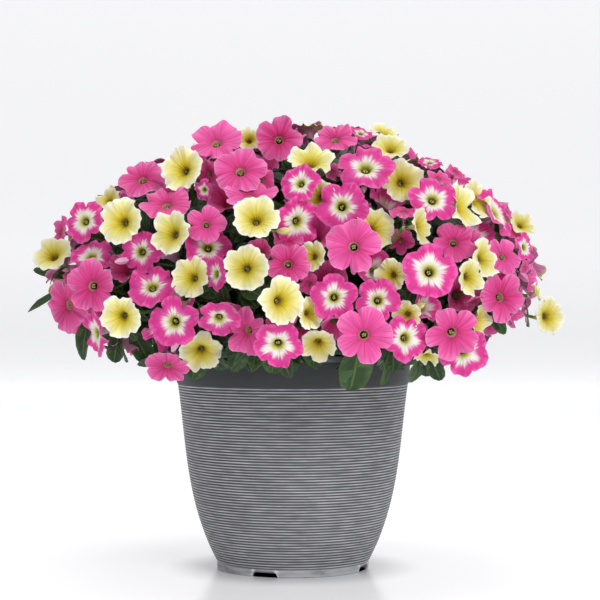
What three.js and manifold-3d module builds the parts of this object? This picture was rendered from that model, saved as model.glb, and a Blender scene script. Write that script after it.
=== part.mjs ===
// A round ribbed nursery pot planted with a mound of spreading petunias of three varieties.
// Millimetres, +Z up, the pot stands on z = 0.

import * as THREE from 'three';
import Module from 'manifold-3d';

const wasm = await Module();
wasm.setup();
const { Manifold, Mesh } = wasm;

// Driving dimensions of the pot
const POT_SIDES = 24;
const POT_WALL = 3;
const FOOT_RADIUS = 84;
const FOOT_RING_WIDTH = 6;
const FOOT_RING_HEIGHT = 6;
const FOOT_BAND_TOP = 8;
const WALL_FOOT_RADIUS = 84.3;
const WALL_SPREAD = 105.6;
const WALL_ROUNDING = 109.3;
const WALL_EASING = 47.5;
const BAND_BOTTOM = 205;
const BAND_STEP = 1;
const BAND_FLARE = 1.6;
const RIM_BOTTOM = 231;
const RIM_TOP = 238;
const RIM_LIP = 1.6;
const WALL_STEPS = 7;
const NOTCH_BEARINGS = [-111, -21, 69, 159];
const NOTCH_WIDTH = 29;
const NOTCH_HEIGHT = 5;
const DRAIN_RADIUS = 7;
const DRAIN_CIRCLE = 52;

// Driving dimensions of the potting mix
const MIX_TOP = 212;
const MIX_CROWN = 3;
const ROOT_DEPTH = 15;

// Driving dimensions of the mound: half axes about a centre, higher above it than below
const MOUND = { x: 5.8, z: 286, across: 292, deep: 266, up: 212, down: 92 };

// The reference view, which the places of the front blooms are read in, as pixels of its 600 x 600 frame
const VIEW = { distance: 2000, focal: 1795, x: 8, z: 297, centre: 300 };

// Driving dimensions of the plants
const STEM_COUNT = 48;
const MOST_BLOOMS_ON_A_STEM = 5;
const STEM_RADIUS = 2.2;
const STALK_RADIUS = 1.25;
const FORK_RADIUS = 3.4;
const ROOT_SPREAD = 90;
const ROOT_SPACING = 17;
const FORK_CORE = 262;
const LAYER_STEP = 8;
const LAYER_GAP = 5;
const REAR_BLOOMS = 600;
const REAR_SPACING = 47;
const REAR_SINK = { least: 8, most: 20, step: 6, limit: 70 };
const REAR_START = -40;
const CROWN_START = -150;
const CROWN_HEIGHT = 466;
const TUBE_LENGTH = 1.05;
const TUBE_RADIUS = 1.9;
const PETAL_THICKNESS = 1.8;
const LEAF_THICKNESS = 1.8;
const LEAVES_ON_A_STEM = 2;
const GAP = 0.35;
const SMALLEST_DETAIL = 0.1;
const SOUND_SHARE = 0.7;
const SKIRT_ROW = 346;
const SKIRT_SETBACK = 16;
const SEED = 20417;

// The three varieties: bloom radius in mm, rim points in each petal lobe, cupping, the mouth of the tube
// as its radius and depth in shares of the bloom's radius, and colour
const VARIETIES = {
  pink: { radius: 27.5, lobe: [-13, 13, 36], cup: 0.02, mouth: [0.2, 0.07], colour: 0xe8489a },
  star: { radius: 26, lobe: [-13, 13, 36], cup: 0.02, mouth: [0.2, 0.07], colour: 0xee9cc4 },
  yellow: { radius: 22.5, lobe: [0, 36], cup: 0.12, mouth: [0.3, 0.2], colour: 0xf0e28a },
};
const NOTCH_DEPTH = 0.15;
const PLAIN_LOBE = [0, 36];
const PLAIN_RADIUS = 25;
const POT_COLOUR = 0x77787c;
const MIX_COLOUR = 0x3a2b20;
const TRIANGLE = [90, 210, 330];

const bloomOf = (variety) => (px, py, size, yaw, pitch, layer) => (
  { variety, px, py, size, yaw, pitch, layer });
const pink = bloomOf('pink');
const star = bloomOf('star');
const yellow = bloomOf('yellow');

// Blooms seen from the front: place and radius in pixels, the way it faces in degrees, and its layer
const FRONT_BLOOMS = [
  star(84, 221, 22, -22, 10, 0), pink(60, 232, 16, -60, 10, -1), yellow(108, 199, 14, -30, 40, -1),
  pink(142, 178, 24, -10, 38, 0), yellow(121, 221, 24, -24, 8, 1), pink(166, 203, 26, -5, 50, 0),
  yellow(182, 169, 23, -26, 12, 1), pink(216, 141, 27, -5, 40, 0), yellow(249, 139, 14, 0, 30, -2),
  pink(279, 139, 24, 0, 15, 0), pink(240, 170, 27, -3, 28, 1), pink(264, 180, 15, 40, 10, -1),
  pink(250, 194, 27, 0, 60, 0), pink(208, 174, 15, -35, 0, -2), star(204, 190, 11, -30, -10, -2),
  yellow(256, 218, 24, 0, 25, 1), yellow(171, 233, 23, -32, 12, 1), pink(206, 224, 20, 0, 15, 0),
  star(208, 247, 24, 0, 20, -1), yellow(311, 160, 24, 5, 48, 0), star(300, 183, 20, -20, 20, 1),
  pink(335, 138, 22, -5, 45, 0), star(361, 133, 12, 20, 50, -1), yellow(384, 131, 16, 30, 60, -1),
  yellow(391, 147, 19, 10, 48, 0), star(366, 167, 29, 3, 40, 2), pink(332, 171, 11, 30, 30, -2),
  yellow(319, 197, 18, -20, 0, -1), star(342, 206, 26, 0, 10, 1), yellow(374, 229, 23, 20, 5, 0),
  pink(353, 246, 28, -8, 8, 2), star(298, 222, 25, 25, -10, -1), pink(288, 238, 16, 10, 30, -2),
  yellow(402, 181, 22, 8, 12, 0), star(430, 162, 13, 10, 60, -1), pink(438, 178, 13, 10, 50, 1),
  pink(456, 172, 10, 40, 40, 0), star(433, 199, 25, 10, 25, 1), yellow(462, 206, 25, 62, 15, 1),
  yellow(477, 199, 21, 52, 20, 0), star(497, 212, 27, 62, 25, 1), pink(507, 211, 9, 60, 30, -1),
  yellow(522, 224, 15, 30, 30, -1), pink(404, 211, 15, 0, 65, 0), yellow(421, 226, 19, 62, 5, 1),
  pink(401, 241, 14, 0, -20, -2), pink(454, 242, 22, 5, 20, 0), yellow(484, 258, 20, 50, 10, 1),
  yellow(470, 277, 19, 45, 0, 1), pink(504, 256, 20, 30, 20, -1), star(525, 247, 15, 50, 10, 0),
  pink(525, 268, 9, 50, -10, -1), pink(502, 297, 26, 30, 5, 1), yellow(537, 292, 10, 70, 20, -1),
  yellow(549, 316, 20, 35, 5, -1), star(430, 271, 28, 8, 15, 2), yellow(391, 275, 17, -28, 0, 0),
  star(334, 297, 24, 0, 5, 1), star(378, 300, 23, 5, 10, 1), pink(364, 335, 29, 0, 0, 2),
  yellow(407, 315, 15, -10, -10, -1), star(406, 338, 24, 25, 0, 1), pink(453, 334, 28, 12, -18, 2),
  star(464, 353, 25, 10, -20, 1), yellow(479, 322, 20, 60, -10, 0), yellow(427, 357, 13, -10, -60, 0),
  pink(475, 301, 11, 40, -60, -1), yellow(52, 254, 21, -20, 35, 0), star(91, 256, 23, -15, 42, -1),
  pink(91, 286, 27, -20, 0, 1), pink(66, 306, 28, -45, -8, 0), star(95, 333, 23, -62, -10, 0),
  yellow(121, 317, 22, -20, -10, 1), star(141, 252, 22, -15, 0, 0), star(152, 286, 25, -5, 35, 0),
  star(174, 322, 26, -12, -5, 1), pink(167, 368, 23, -10, -45, 1), yellow(191, 277, 22, -25, 10, 1),
  star(215, 274, 19, -55, 0, 1), yellow(246, 268, 23, -5, 5, 1), pink(288, 263, 23, 0, 20, 0),
  yellow(282, 301, 25, 30, 0, 2), yellow(312, 256, 16, -30, 10, -1), star(219, 319, 22, 0, -35, 1),
  pink(246, 331, 25, -40, -10, 0), yellow(201, 352, 22, 0, -25, 0), star(278, 345, 25, 0, -25, 1),
  yellow(310, 313, 17, 40, 0, 0), yellow(318, 345, 19, -5, -35, -1), pink(309, 284, 11, 0, 0, -2),
];

// How far the plant reaches from a pixel of the view, by the bearing in degrees
const SEEN_MIDDLE = [300, 260];
const SEEN_REACH = [
  [0, 238], [10, 238], [20, 208], [30, 183], [40, 158], [60, 152], [90, 136], [110, 140], [130, 162], [150, 188],
  [160, 205], [170, 238], [180, 262], [190, 255], [200, 236], [210, 195], [218, 168], [240, 130], [270, 112],
  [300, 126], [322, 178], [340, 212], [350, 262], [360, 238],
];

const leafTip = (px, py, width) => ({ px, py, width });

// Leaves that hang over the rim or stick out of the outline: the pixel of the tip, and the width in mm
const EDGE_LEAVES = [
  leafTip(192, 380, 17), leafTip(229, 371, 17), leafTip(251, 372, 15), leafTip(272, 374, 18),
  leafTip(291, 379, 14), leafTip(313, 367, 18), leafTip(350, 391, 30), leafTip(381, 386, 9),
  leafTip(393, 372, 16), leafTip(410, 383, 16), leafTip(427, 377, 14), leafTip(441, 381, 14),
  leafTip(83, 361, 18), leafTip(114, 363, 15), leafTip(128, 363, 14), leafTip(137, 365, 12),
  leafTip(27, 313, 9), leafTip(50, 284, 9), leafTip(33, 269, 9), leafTip(505, 335, 12),
  leafTip(527, 327, 12), leafTip(308, 132, 12), leafTip(104, 238, 16), leafTip(327, 345, 14),
];

const budTip = (px, py) => ({ px, py });

// Closed and withered buds seen from the front, by the pixel of the tip
const BUDS = [
  budTip(111, 185), budTip(291, 231), budTip(354, 274), budTip(425, 303), budTip(528, 281),
  budTip(363, 190), budTip(115, 262), budTip(172, 352),
];

// A repeatable source of numbers from 0 to 1
function randomSource(seed) {
  let state = seed;
  return () => {
    state = (Math.imul(state, 1664525) + 1013904223) >>> 0;
    return state / 4294967296;
  };
}

const vec = (x, y, z) => new THREE.Vector3(x, y, z);
const radians = THREE.MathUtils.degToRad;
const between = (a, b, t) => a.clone().lerp(b, t);

// The body of a piece as rings of points, joined by triangles from its front to its back
class Skin {
  constructor() {
    this.points = [];
    this.faces = [];
  }

  add(point) {
    this.points.push(point);
    return this.points.length - 1;
  }

  ring(centre, u, v, radii, angles, heights) {
    const axis = u.clone().cross(v);
    const ids = angles.map((angle, k) => {
      const point = centre.clone();
      point.addScaledVector(u, radii[k] * Math.cos(radians(angle)));
      point.addScaledVector(v, radii[k] * Math.sin(radians(angle)));
      point.addScaledVector(axis, heights ? heights[k] : 0);
      return this.add(point);
    });
    return { ids, angles };
  }

  // Joins two rings that may have unlike numbers of points, by the bearings of their points
  bridge(front, back) {
    const middle = (ring, k) => {
      const turn = Math.floor((k + 1) / ring.ids.length) * 360;
      const next = ring.angles[(k + 1) % ring.ids.length] + turn;
      return (ring.angles[k % ring.ids.length] + next) / 2;
    };
    let i = 0;
    let j = 0;
    while (i < front.ids.length || j < back.ids.length) {
      const a = front.ids[i % front.ids.length];
      const b = back.ids[j % back.ids.length];
      const frontIsNext = i < front.ids.length && middle(front, i) <= middle(back, j);
      if (frontIsNext || j === back.ids.length) {
        this.faces.push([a, b, front.ids[(i + 1) % front.ids.length]]);
        i += 1;
      } else {
        this.faces.push([a, b, back.ids[(j + 1) % back.ids.length]]);
        j += 1;
      }
    }
  }

  fan(apex, ring, outward) {
    ring.ids.forEach((id, k) => {
      const next = ring.ids[(k + 1) % ring.ids.length];
      this.faces.push(outward ? [apex, id, next] : [apex, next, id]);
    });
  }

  solid() {
    const vertProperties = new Float32Array(this.points.flatMap((p) => [p.x, p.y, p.z]));
    const triVerts = new Uint32Array(this.faces.flat());
    return new Manifold(new Mesh({ numProp: 3, vertProperties, triVerts }));
  }
}

// A solid made from a three.js geometry
function solidOf(geometry) {
  const skin = new Skin();
  const position = geometry.getAttribute('position');
  const known = new Map();
  const ids = [];
  for (let k = 0; k < position.count; k += 1) {
    const point = vec(position.getX(k), position.getY(k), position.getZ(k));
    const key = point.toArray().map((value) => Math.round(value * 1000)).join();
    if (!known.has(key)) known.set(key, skin.add(point));
    ids.push(known.get(key));
  }
  const index = geometry.getIndex();
  for (let k = 0; k < index.count; k += 3) {
    const face = [0, 1, 2].map((corner) => ids[index.getX(k + corner)]);
    if (new Set(face).size === 3) skin.faces.push(face);
  }
  return skin.solid();
}

function meshOf(name, solid, colour, roughness) {
  const { vertProperties, triVerts } = solid.getMesh();
  const geometry = new THREE.BufferGeometry();
  geometry.setAttribute('position', new THREE.Float32BufferAttribute(vertProperties, 3));
  geometry.setIndex(new THREE.Uint32BufferAttribute(triVerts, 1));
  geometry.computeVertexNormals();
  const material = new THREE.MeshStandardMaterial({ color: colour, roughness, metalness: 0 });
  const mesh = new THREE.Mesh(geometry, material);
  mesh.name = name;
  return mesh;
}

// The piece of a solid that carries the rest: scraps and sealed hollows are left behind
function mainBody(solid) {
  return solid.decompose().sort((a, b) => b.volume() - a.volume())[0];
}

// A three-sided tube along a path, with a radius at each point
function tube(path, radii, grow = 0, side = null) {
  const skin = new Skin();
  const axis = path[0].clone().sub(path[1]).normalize();
  const start = side || vec(-axis.y, axis.x, axis.z > 0.9 ? 1 : 0);
  addTube(skin, path, radii, grow, { before: null, axis, side: start });
  return skin.solid();
}

// Rings along a path, joined to a ring before them or closed at the start, and closed at the end
function addTube(skin, path, radii, grow, start) {
  let u = start.side.clone();
  let last = start.before;
  path.forEach((point, k) => {
    const behind = k > 0 ? path[k - 1].clone().sub(point).normalize() : start.axis.clone();
    const ahead = k < path.length - 1 ? point.clone().sub(path[k + 1]).normalize() : behind.clone();
    const axis = behind.add(ahead).normalize();
    u = u.addScaledVector(axis, -u.dot(axis)).normalize();
    const v = axis.clone().cross(u);
    const centre = point.clone();
    if (!last) centre.addScaledVector(axis, grow);
    if (k === path.length - 1) centre.addScaledVector(axis, -grow);
    const ring = skin.ring(centre, u, v, TRIANGLE.map(() => radii[k] + 2 * grow), TRIANGLE);
    if (last) skin.bridge(last, ring);
    else skin.faces.push([ring.ids[0], ring.ids[1], ring.ids[2]]);
    last = ring;
  });
  skin.faces.push([last.ids[0], last.ids[2], last.ids[1]]);
}

// Places of the blooms on the mound

// The point of the mound behind a pixel of the reference view
function onMound(px, py) {
  const point = vec(0, 0, 0);
  for (let pass = 0; pass < 24; pass += 1) {
    const scale = (VIEW.distance + point.y) / VIEW.focal;
    point.x = VIEW.x + (px - VIEW.centre) * scale;
    point.z = VIEW.z - (py - VIEW.centre) * scale;
    const fall = point.z > MOUND.z ? MOUND.up : MOUND.down;
    const reach = ((point.x - MOUND.x) / MOUND.across) ** 2 + ((point.z - MOUND.z) / fall) ** 2;
    point.y = (point.y - MOUND.deep * Math.sqrt(Math.max(0, 1 - reach))) / 2;
  }
  return point;
}

// The tip of a leaf that hangs below the mound, under the edge of the mound above it
function onSkirt(px, py) {
  const depth = onMound(px, Math.min(py, SKIRT_ROW)).y + (py > SKIRT_ROW ? SKIRT_SETBACK : 0);
  const scale = (VIEW.distance + depth) / VIEW.focal;
  return vec(VIEW.x + (px - VIEW.centre) * scale, depth, VIEW.z - (py - VIEW.centre) * scale);
}

function facing(yaw, pitch) {
  const [turn, rise] = [radians(yaw), radians(pitch)];
  return vec(Math.sin(turn) * Math.cos(rise), -Math.cos(turn) * Math.cos(rise), Math.sin(rise));
}

function outwardAt(point) {
  const fall = point.z > MOUND.z ? MOUND.up : MOUND.down;
  const out = vec((point.x - MOUND.x) / MOUND.across ** 2, point.y / MOUND.deep ** 2,
    (point.z - MOUND.z) / fall ** 2);
  return out.normalize();
}

// Moves a point along its sight line by a depth towards the viewer, so its pixel stays
function nearer(point, depth) {
  const eye = vec(VIEW.x, -VIEW.distance, VIEW.z);
  return point.clone().addScaledVector(eye.sub(point).normalize(), depth);
}

function frontBlooms() {
  const blooms = FRONT_BLOOMS.map((seen) => {
    const seat = onMound(seen.px, seen.py);
    const scale = (VIEW.distance + seat.y) / VIEW.focal;
    const normal = facing(seen.yaw, seen.pitch);
    return { variety: seen.variety, layer: seen.layer, seat, normal, radius: seen.size * scale,
      depth: seen.layer * LAYER_STEP, slope: Math.max(0.35, -normal.y) };
  });
  for (let pass = 0; pass < 40; pass += 1) {
    blooms.forEach((a, i) => blooms.slice(i + 1).forEach((b) => partInDepth(a, b)));
  }
  return blooms.map((b) => ({ ...b, centre: nearer(b.seat, b.depth) }));
}

// Two blooms that cover each other in the view are drawn apart in depth where they cross
function partInDepth(a, b) {
  const apart = Math.hypot(a.seat.x - b.seat.x, a.seat.z - b.seat.z);
  if (apart > a.radius + b.radius - 2) return;
  const depthOf = (bloom) => bloom.depth - bloom.seat.y;
  const aInFront = a.layer === b.layer ? depthOf(a) > depthOf(b) : a.layer > b.layer;
  const [front, back] = aInFront ? [a, b] : [b, a];
  const share = (a.radius + apart - b.radius) / (2 * Math.max(apart, 1));
  const x = a.seat.x + (b.seat.x - a.seat.x) * share;
  const z = a.seat.z + (b.seat.z - a.seat.z) * share;
  const depthAt = (bloom) => {
    const tilt = bloom.normal.x * (x - bloom.seat.x) + bloom.normal.z * (z - bloom.seat.z);
    return depthOf(bloom) - tilt / bloom.slope;
  };
  const lack = LAYER_GAP - (depthAt(front) - depthAt(back));
  if (lack <= 0) return;
  front.depth = Math.min(26, front.depth + lack * 0.25);
  back.depth = Math.max(-34, back.depth - lack * 0.25);
}

// Whether the face of a bloom is inside the outline of the plant in the reference view
function inOutline(centre, normal, radius) {
  const u = vec(-normal.y, normal.x, 0).normalize();
  const v = normal.clone().cross(u);
  return [0, 45, 90, 135, 180, 225, 270, 315].every((turn) => {
    const rim = centre.clone().addScaledVector(u, radius * Math.cos(radians(turn)));
    rim.addScaledVector(v, radius * Math.sin(radians(turn)));
    const scale = VIEW.focal / (VIEW.distance + rim.y);
    const across = VIEW.centre + (rim.x - VIEW.x) * scale - SEEN_MIDDLE[0];
    const up = SEEN_MIDDLE[1] - VIEW.centre + (rim.z - VIEW.z) * scale;
    const bearing = (Math.atan2(up, across) / radians(1) + 360) % 360;
    const after = Math.max(1, SEEN_REACH.findIndex(([stop]) => stop > bearing));
    const [[low, near], [high, far]] = [SEEN_REACH[after - 1], SEEN_REACH[after]];
    return Math.hypot(across, up) < near + ((far - near) * (bearing - low)) / (high - low);
  });
}

// Blooms on the sides and the back: a golden-angle spiral over the mound, clear of the blooms in front
function rearBlooms(front) {
  const random = randomSource(SEED);
  const rear = [];
  const lowest = -0.6;
  for (let k = 0; k < REAR_BLOOMS; k += 1) {
    const rise = 1 - ((1 - lowest) * (k + 0.5)) / REAR_BLOOMS;
    const bearing = k * Math.PI * (3 - Math.sqrt(5)) + (random() - 0.5) * 0.12;
    const flat = Math.sqrt(1 - rise * rise);
    const fall = rise > 0 ? MOUND.up : MOUND.down;
    const sink = REAR_SINK.least + (REAR_SINK.most - REAR_SINK.least) * random();
    const seat = vec(MOUND.x + MOUND.across * flat * Math.cos(bearing), MOUND.deep * flat * Math.sin(bearing),
      MOUND.z + fall * rise);
    const variety = ['pink', 'star', 'yellow'][Math.floor(random() * 3)];
    const radius = VARIETIES[variety].radius * (0.98 + 0.16 * random());
    const lean = vec(random() - 0.5, random() - 0.5, random() * 0.8 - 0.2);
    const normal = outwardAt(seat).multiplyScalar(1.5).add(lean).normalize();
    const outward = outwardAt(seat);
    seat.addScaledVector(outward, -sink);
    for (let sunk = sink; sunk < REAR_SINK.limit && !inOutline(seat, normal, radius); sunk += REAR_SINK.step) {
      seat.addScaledVector(outward, -REAR_SINK.step);
    }
    const clear = [...front, ...rear].every((other) => other.centre.distanceTo(seat) > REAR_SPACING);
    const start = seat.z > CROWN_HEIGHT ? CROWN_START : REAR_START;
    if (seat.y > start && clear) rear.push({ variety, rear: true, layer: 0, centre: seat, normal, radius });
  }
  return rear;
}

// Blooms of one variety that are near each other grow on one stem
function gatherStems(blooms) {
  const stems = blooms.map((bloom) => (
    { variety: bloom.variety, blooms: [bloom], middle: bloom.centre.clone() }));
  while (stems.length > STEM_COUNT) {
    let best = null;
    stems.forEach((a, i) => stems.slice(i + 1).forEach((b, step) => {
      const alike = a.variety === b.variety && a.blooms.length + b.blooms.length <= MOST_BLOOMS_ON_A_STEM;
      const apart = a.middle.distanceTo(b.middle);
      if (alike && (!best || apart < best.apart)) best = { i, j: i + 1 + step, apart };
    }));
    const [taken] = stems.splice(best.j, 1);
    const stem = stems[best.i];
    stem.blooms.push(...taken.blooms);
    stem.middle.set(0, 0, 0);
    stem.blooms.forEach((bloom) => stem.middle.addScaledVector(bloom.centre, 1 / stem.blooms.length));
  }
  return stems;
}

// Roots stand under their stems' forks, drawn together into the pot and spaced out
function plantRoots(stems) {
  stems.forEach((stem) => {
    const away = Math.hypot(stem.middle.x, stem.middle.y);
    const radius = ROOT_SPREAD * Math.min(1, away / 250);
    stem.root = vec((stem.middle.x / away) * radius, (stem.middle.y / away) * radius, MIX_TOP - ROOT_DEPTH);
  });
  for (let pass = 0; pass < 60; pass += 1) {
    stems.forEach((a, i) => stems.slice(i + 1).forEach((b) => {
      const step = b.root.clone().sub(a.root);
      const apart = Math.max(step.length(), 0.1);
      if (apart >= ROOT_SPACING) return;
      step.multiplyScalar((ROOT_SPACING - apart) / (2 * apart));
      b.root.add(step);
      a.root.sub(step);
    }));
    stems.forEach(({ root }) => {
      const radius = Math.hypot(root.x, root.y);
      const pull = Math.min(1, (ROOT_SPREAD + 8) / Math.max(radius, 1));
      root.set(root.x * pull, root.y * pull, root.z);
    });
  }
}

// The least distance between two straight lengths of stalk
function spanGap(a, b) {
  const d1 = a.end.clone().sub(a.start);
  const d2 = b.end.clone().sub(b.start);
  const r = a.start.clone().sub(b.start);
  const [aa, ee, ff] = [d1.dot(d1), d2.dot(d2), d2.dot(r)];
  const [cc, bb] = [d1.dot(r), d1.dot(d2)];
  const clamp = (value) => Math.min(1, Math.max(0, value));
  const denominator = aa * ee - bb * bb;
  let s = denominator > 1e-9 ? clamp((bb * ff - cc * ee) / denominator) : 0;
  const t = clamp((bb * s + ff) / ee);
  s = clamp((bb * t - cc) / aa);
  const here = a.start.clone().addScaledVector(d1, s);
  const there = b.start.clone().addScaledVector(d2, t);
  return here.distanceTo(there) - a.radius - b.radius;
}

const span = (start, end, radius) => ({ start, end, radius });

// The narrow tube behind a bloom, from under its face to the point where its stalk starts
function tubeSpan(bloom) {
  bloom.base = bloom.centre.clone().addScaledVector(bloom.normal, -TUBE_LENGTH * bloom.radius);
  const neck = bloom.centre.clone().addScaledVector(bloom.normal, -0.4 * bloom.radius);
  return span(neck, bloom.base, 3.2);
}

// The lengths of one stem for one place of its fork
function stemSpans(stem, fork) {
  const neck = vec(stem.root.x * 1.04, stem.root.y * 1.04, MIX_TOP + 20);
  const trunk = [span(stem.root, neck, STEM_RADIUS), span(neck, fork, STEM_RADIUS)];
  const stalks = stem.blooms.map((bloom) => span(bloom.base, fork, STALK_RADIUS));
  return { neck, spans: [...trunk, ...stalks] };
}

// Tries places for the fork until every length of the stem is clear of the stems grown before it
function growStems(stems) {
  const tubes = new Map(stems.map((stem) => [stem, stem.blooms.map(tubeSpan)]));
  const grown = [];
  const core = vec(0, 0, FORK_CORE);
  stems.forEach((stem) => {
    const others = stems.filter((other) => other !== stem).flatMap((other) => tubes.get(other));
    const bases = vec(0, 0, 0);
    stem.blooms.forEach((bloom) => bases.addScaledVector(bloom.base, 1 / stem.blooms.length));
    const reach = bases.clone().sub(core);
    const side = vec(-reach.y, reach.x, 0).normalize();
    const up = side.clone().cross(reach).normalize().negate();
    let best = null;
    [0.66, 0.74, 0.58, 0.82, 0.5, 0.42].forEach((part) => [0, 7, -7, 14, -14, 21, -21].forEach((shift) => {
      [0, 8, -8, 16].forEach((lift) => {
        if (best && best.clear >= 1) return;
        const fork = core.clone().addScaledVector(reach, part).addScaledVector(side, shift);
        fork.addScaledVector(up, lift);
        fork.z = Math.max(fork.z, FORK_CORE - 2);
        const { neck, spans } = stemSpans(stem, fork);
        const near = [...grown, ...others];
        const clear = Math.min(99, ...spans.flatMap((one) => near.map((other) => spanGap(one, other))));
        if (!best || clear > best.clear) best = { fork, neck, spans, clear };
      });
    }));
    Object.assign(stem, best);
    grown.push(...best.spans);
  });
}

// Solids of the plants

// A bloom: throat, waved lobed face, tube and the stalk down to the fork, in one body
function bloomSolid(bloom, grow = 0) {
  const { cup, mouth: [opening, sunk] } = VARIETIES[bloom.variety];
  const { lobe } = bloom;
  const skin = new Skin();
  const size = bloom.radius;
  const [u, v] = bloom.frame;
  const deep = (depth) => bloom.centre.clone().addScaledVector(bloom.normal, depth);
  const five = [0, 72, 144, 216, 288];
  const rim = five.flatMap((turn) => lobe.map((angle) => turn + angle));
  const notch = (k) => k % lobe.length === lobe.length - 1;
  const rimRadii = rim.map((_, k) => size * (notch(k) ? 1 - NOTCH_DEPTH : 1) + grow);
  const rimHeights = rim.map((_, k) => size * (notch(k) ? cup - 0.06 : cup + bloom.wave[k]));
  const throat = skin.add(deep(-0.42 * size + grow));
  const mouth = skin.ring(deep(-sunk * size + grow), u, v, five.map(() => opening * size), five);
  const edge = skin.ring(deep(grow), u, v, rimRadii, rim, rimHeights);
  const under = grow > 0 ? skin.ring(deep(-grow), u, v, rimRadii, rim, rimHeights) : edge;
  const back = -sunk * size - PETAL_THICKNESS - grow;
  const collar = skin.ring(deep(back), u, v, five.map(() => (opening + 0.03) * size + grow), five);
  skin.fan(throat, mouth, true);
  skin.bridge(mouth, edge);
  if (under !== edge) skin.bridge(edge, under);
  skin.bridge(under, collar);
  const { path, radii } = stalkOf(bloom);
  addTube(skin, path, radii, grow, { before: collar, axis: bloom.normal, side: u });
  return skin.solid();
}

// The way from the tube of a bloom to the fork, and for the leading bloom of a stem on down to the root
function stalkOf(bloom) {
  const { fork, neck, root, leader } = bloom.stem;
  if (bloom !== leader) return { path: [bloom.base, fork], radii: [TUBE_RADIUS, STALK_RADIUS] };
  const radii = [TUBE_RADIUS, FORK_RADIUS, STEM_RADIUS, STEM_RADIUS];
  return { path: [bloom.base, fork, neck, root], radii };
}

// The part of a bloom that nothing may cut: the narrow end of its tube and its stalk
function bloomCore(bloom, grow = 0) {
  const throat = bloom.centre.clone().addScaledVector(bloom.normal, -0.4 * bloom.radius);
  const { path, radii } = stalkOf(bloom);
  return tube([throat, ...path], [1.5 * TUBE_RADIUS, ...radii], grow, bloom.frame[0]);
}

// A leaf from a point of its stem to its tip, broad past the middle, folded up a little along its rib
function leafSolid(root, tip, width, out, grow = 0) {
  const skin = new Skin();
  const along = tip.clone().sub(root);
  const length = along.length();
  along.normalize();
  const side = along.clone().cross(out).normalize();
  const face = side.clone().cross(along).normalize();
  const at = (part, across, height) => {
    const point = root.clone().addScaledVector(along, part * length);
    return point.addScaledVector(side, across).addScaledVector(face, height);
  };
  const half = width / 2 + grow;
  const reach = grow / length;
  const outline = [at(-reach, 0, 0), at(0.4, half * 0.62, 1.2), at(0.7, half, 2), at(1 + reach, 0, 0.6),
    at(0.7, -half, 2), at(0.4, -half * 0.62, 1.2)];
  const angles = outline.map((_, k) => k * 60);
  const lifted = (height) => outline.map((point) => skin.add(point.clone().addScaledVector(face, height)));
  const upper = { angles, ids: lifted(grow) };
  const lower = grow > 0 ? { angles, ids: lifted(-grow) } : upper;
  if (grow > 0) skin.bridge(upper, lower);
  skin.fan(skin.add(at(0.58, 0, LEAF_THICKNESS / 2 + grow)), upper, true);
  skin.fan(skin.add(at(0.58, 0, -LEAF_THICKNESS / 2 - grow)), lower, false);
  return skin.solid();
}

// A closed bud on a thin stalk
function budSolid(root, tip, grow = 0) {
  const path = [root, between(root, tip, 0.62), between(root, tip, 0.84), tip];
  return tube(path, [0.9, 0.9, 2.8, 0.7], grow);
}

// The point of the plant's stalks that is nearest to a place, outside the rim of the pot
function nearestStalk(stems, place) {
  let best = null;
  stems.forEach((stem) => stem.spans.slice(1).forEach((stalk) => {
    for (let part = 0.05; part < 1; part += 0.1) {
      const point = between(stalk.start, stalk.end, part);
      const apart = point.distanceTo(place);
      const outside = Math.hypot(point.x, point.y) > 146 || point.z > 300;
      if (outside && apart > 24 && (!best || apart < best.apart)) best = { stem, point, apart };
    }
  }));
  return best;
}

// Every place on the plants, worked out before any solid is made
function layOut() {
  const front = frontBlooms();
  const blooms = [...front, ...rearBlooms(front)];
  const random = randomSource(SEED + 1);
  blooms.forEach((bloom) => {
    const u = vec(-bloom.normal.y, bloom.normal.x, 0).normalize();
    u.applyAxisAngle(bloom.normal, random() * 2 * Math.PI);
    bloom.frame = [u, bloom.normal.clone().cross(u)];
    bloom.lobe = bloom.rear || bloom.radius < PLAIN_RADIUS ? PLAIN_LOBE : VARIETIES[bloom.variety].lobe;
    bloom.wave = Array.from({ length: 15 }, () => (random() - 0.5) * 0.14);
  });
  const stems = gatherStems(blooms);
  plantRoots(stems);
  growStems(stems);
  stems.forEach((stem) => {
    stem.blooms.forEach((bloom) => {
      bloom.stem = stem;
    });
    const rise = stem.fork.clone().sub(stem.neck).normalize();
    const ahead = (bloom) => bloom.base.clone().sub(stem.fork).normalize().dot(rise);
    stem.leader = stem.blooms.reduce((best, bloom) => (ahead(bloom) > ahead(best) ? bloom : best));
    stem.leaves = [];
    stem.buds = [];
  });
  EDGE_LEAVES.forEach(({ px, py, width }) => {
    const tip = onSkirt(px, py);
    const { stem, point } = nearestStalk(stems, tip);
    stem.leaves.push({ root: point, tip, width, out: outwardAt(tip) });
  });
  BUDS.forEach(({ px, py }) => {
    const tip = nearer(onMound(px, py), 6);
    const { stem, point } = nearestStalk(stems, tip);
    stem.buds.push({ root: point, tip });
  });
  return { blooms, stems };
}

const boxOf = (solid) => {
  const { min, max } = solid.boundingBox();
  return new THREE.Box3(vec(...min), vec(...max));
};

const meets = (a, b) => boxOf(a).intersectsBox(boxOf(b)) && a.intersect(b).volume() > 1e-4;

// A solid cut clear of those of the others that cross it
function cutClear(solid, others) {
  return others.filter((other) => meets(solid, other)).reduce((rest, other) => rest.subtract(other), solid);
}

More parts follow.
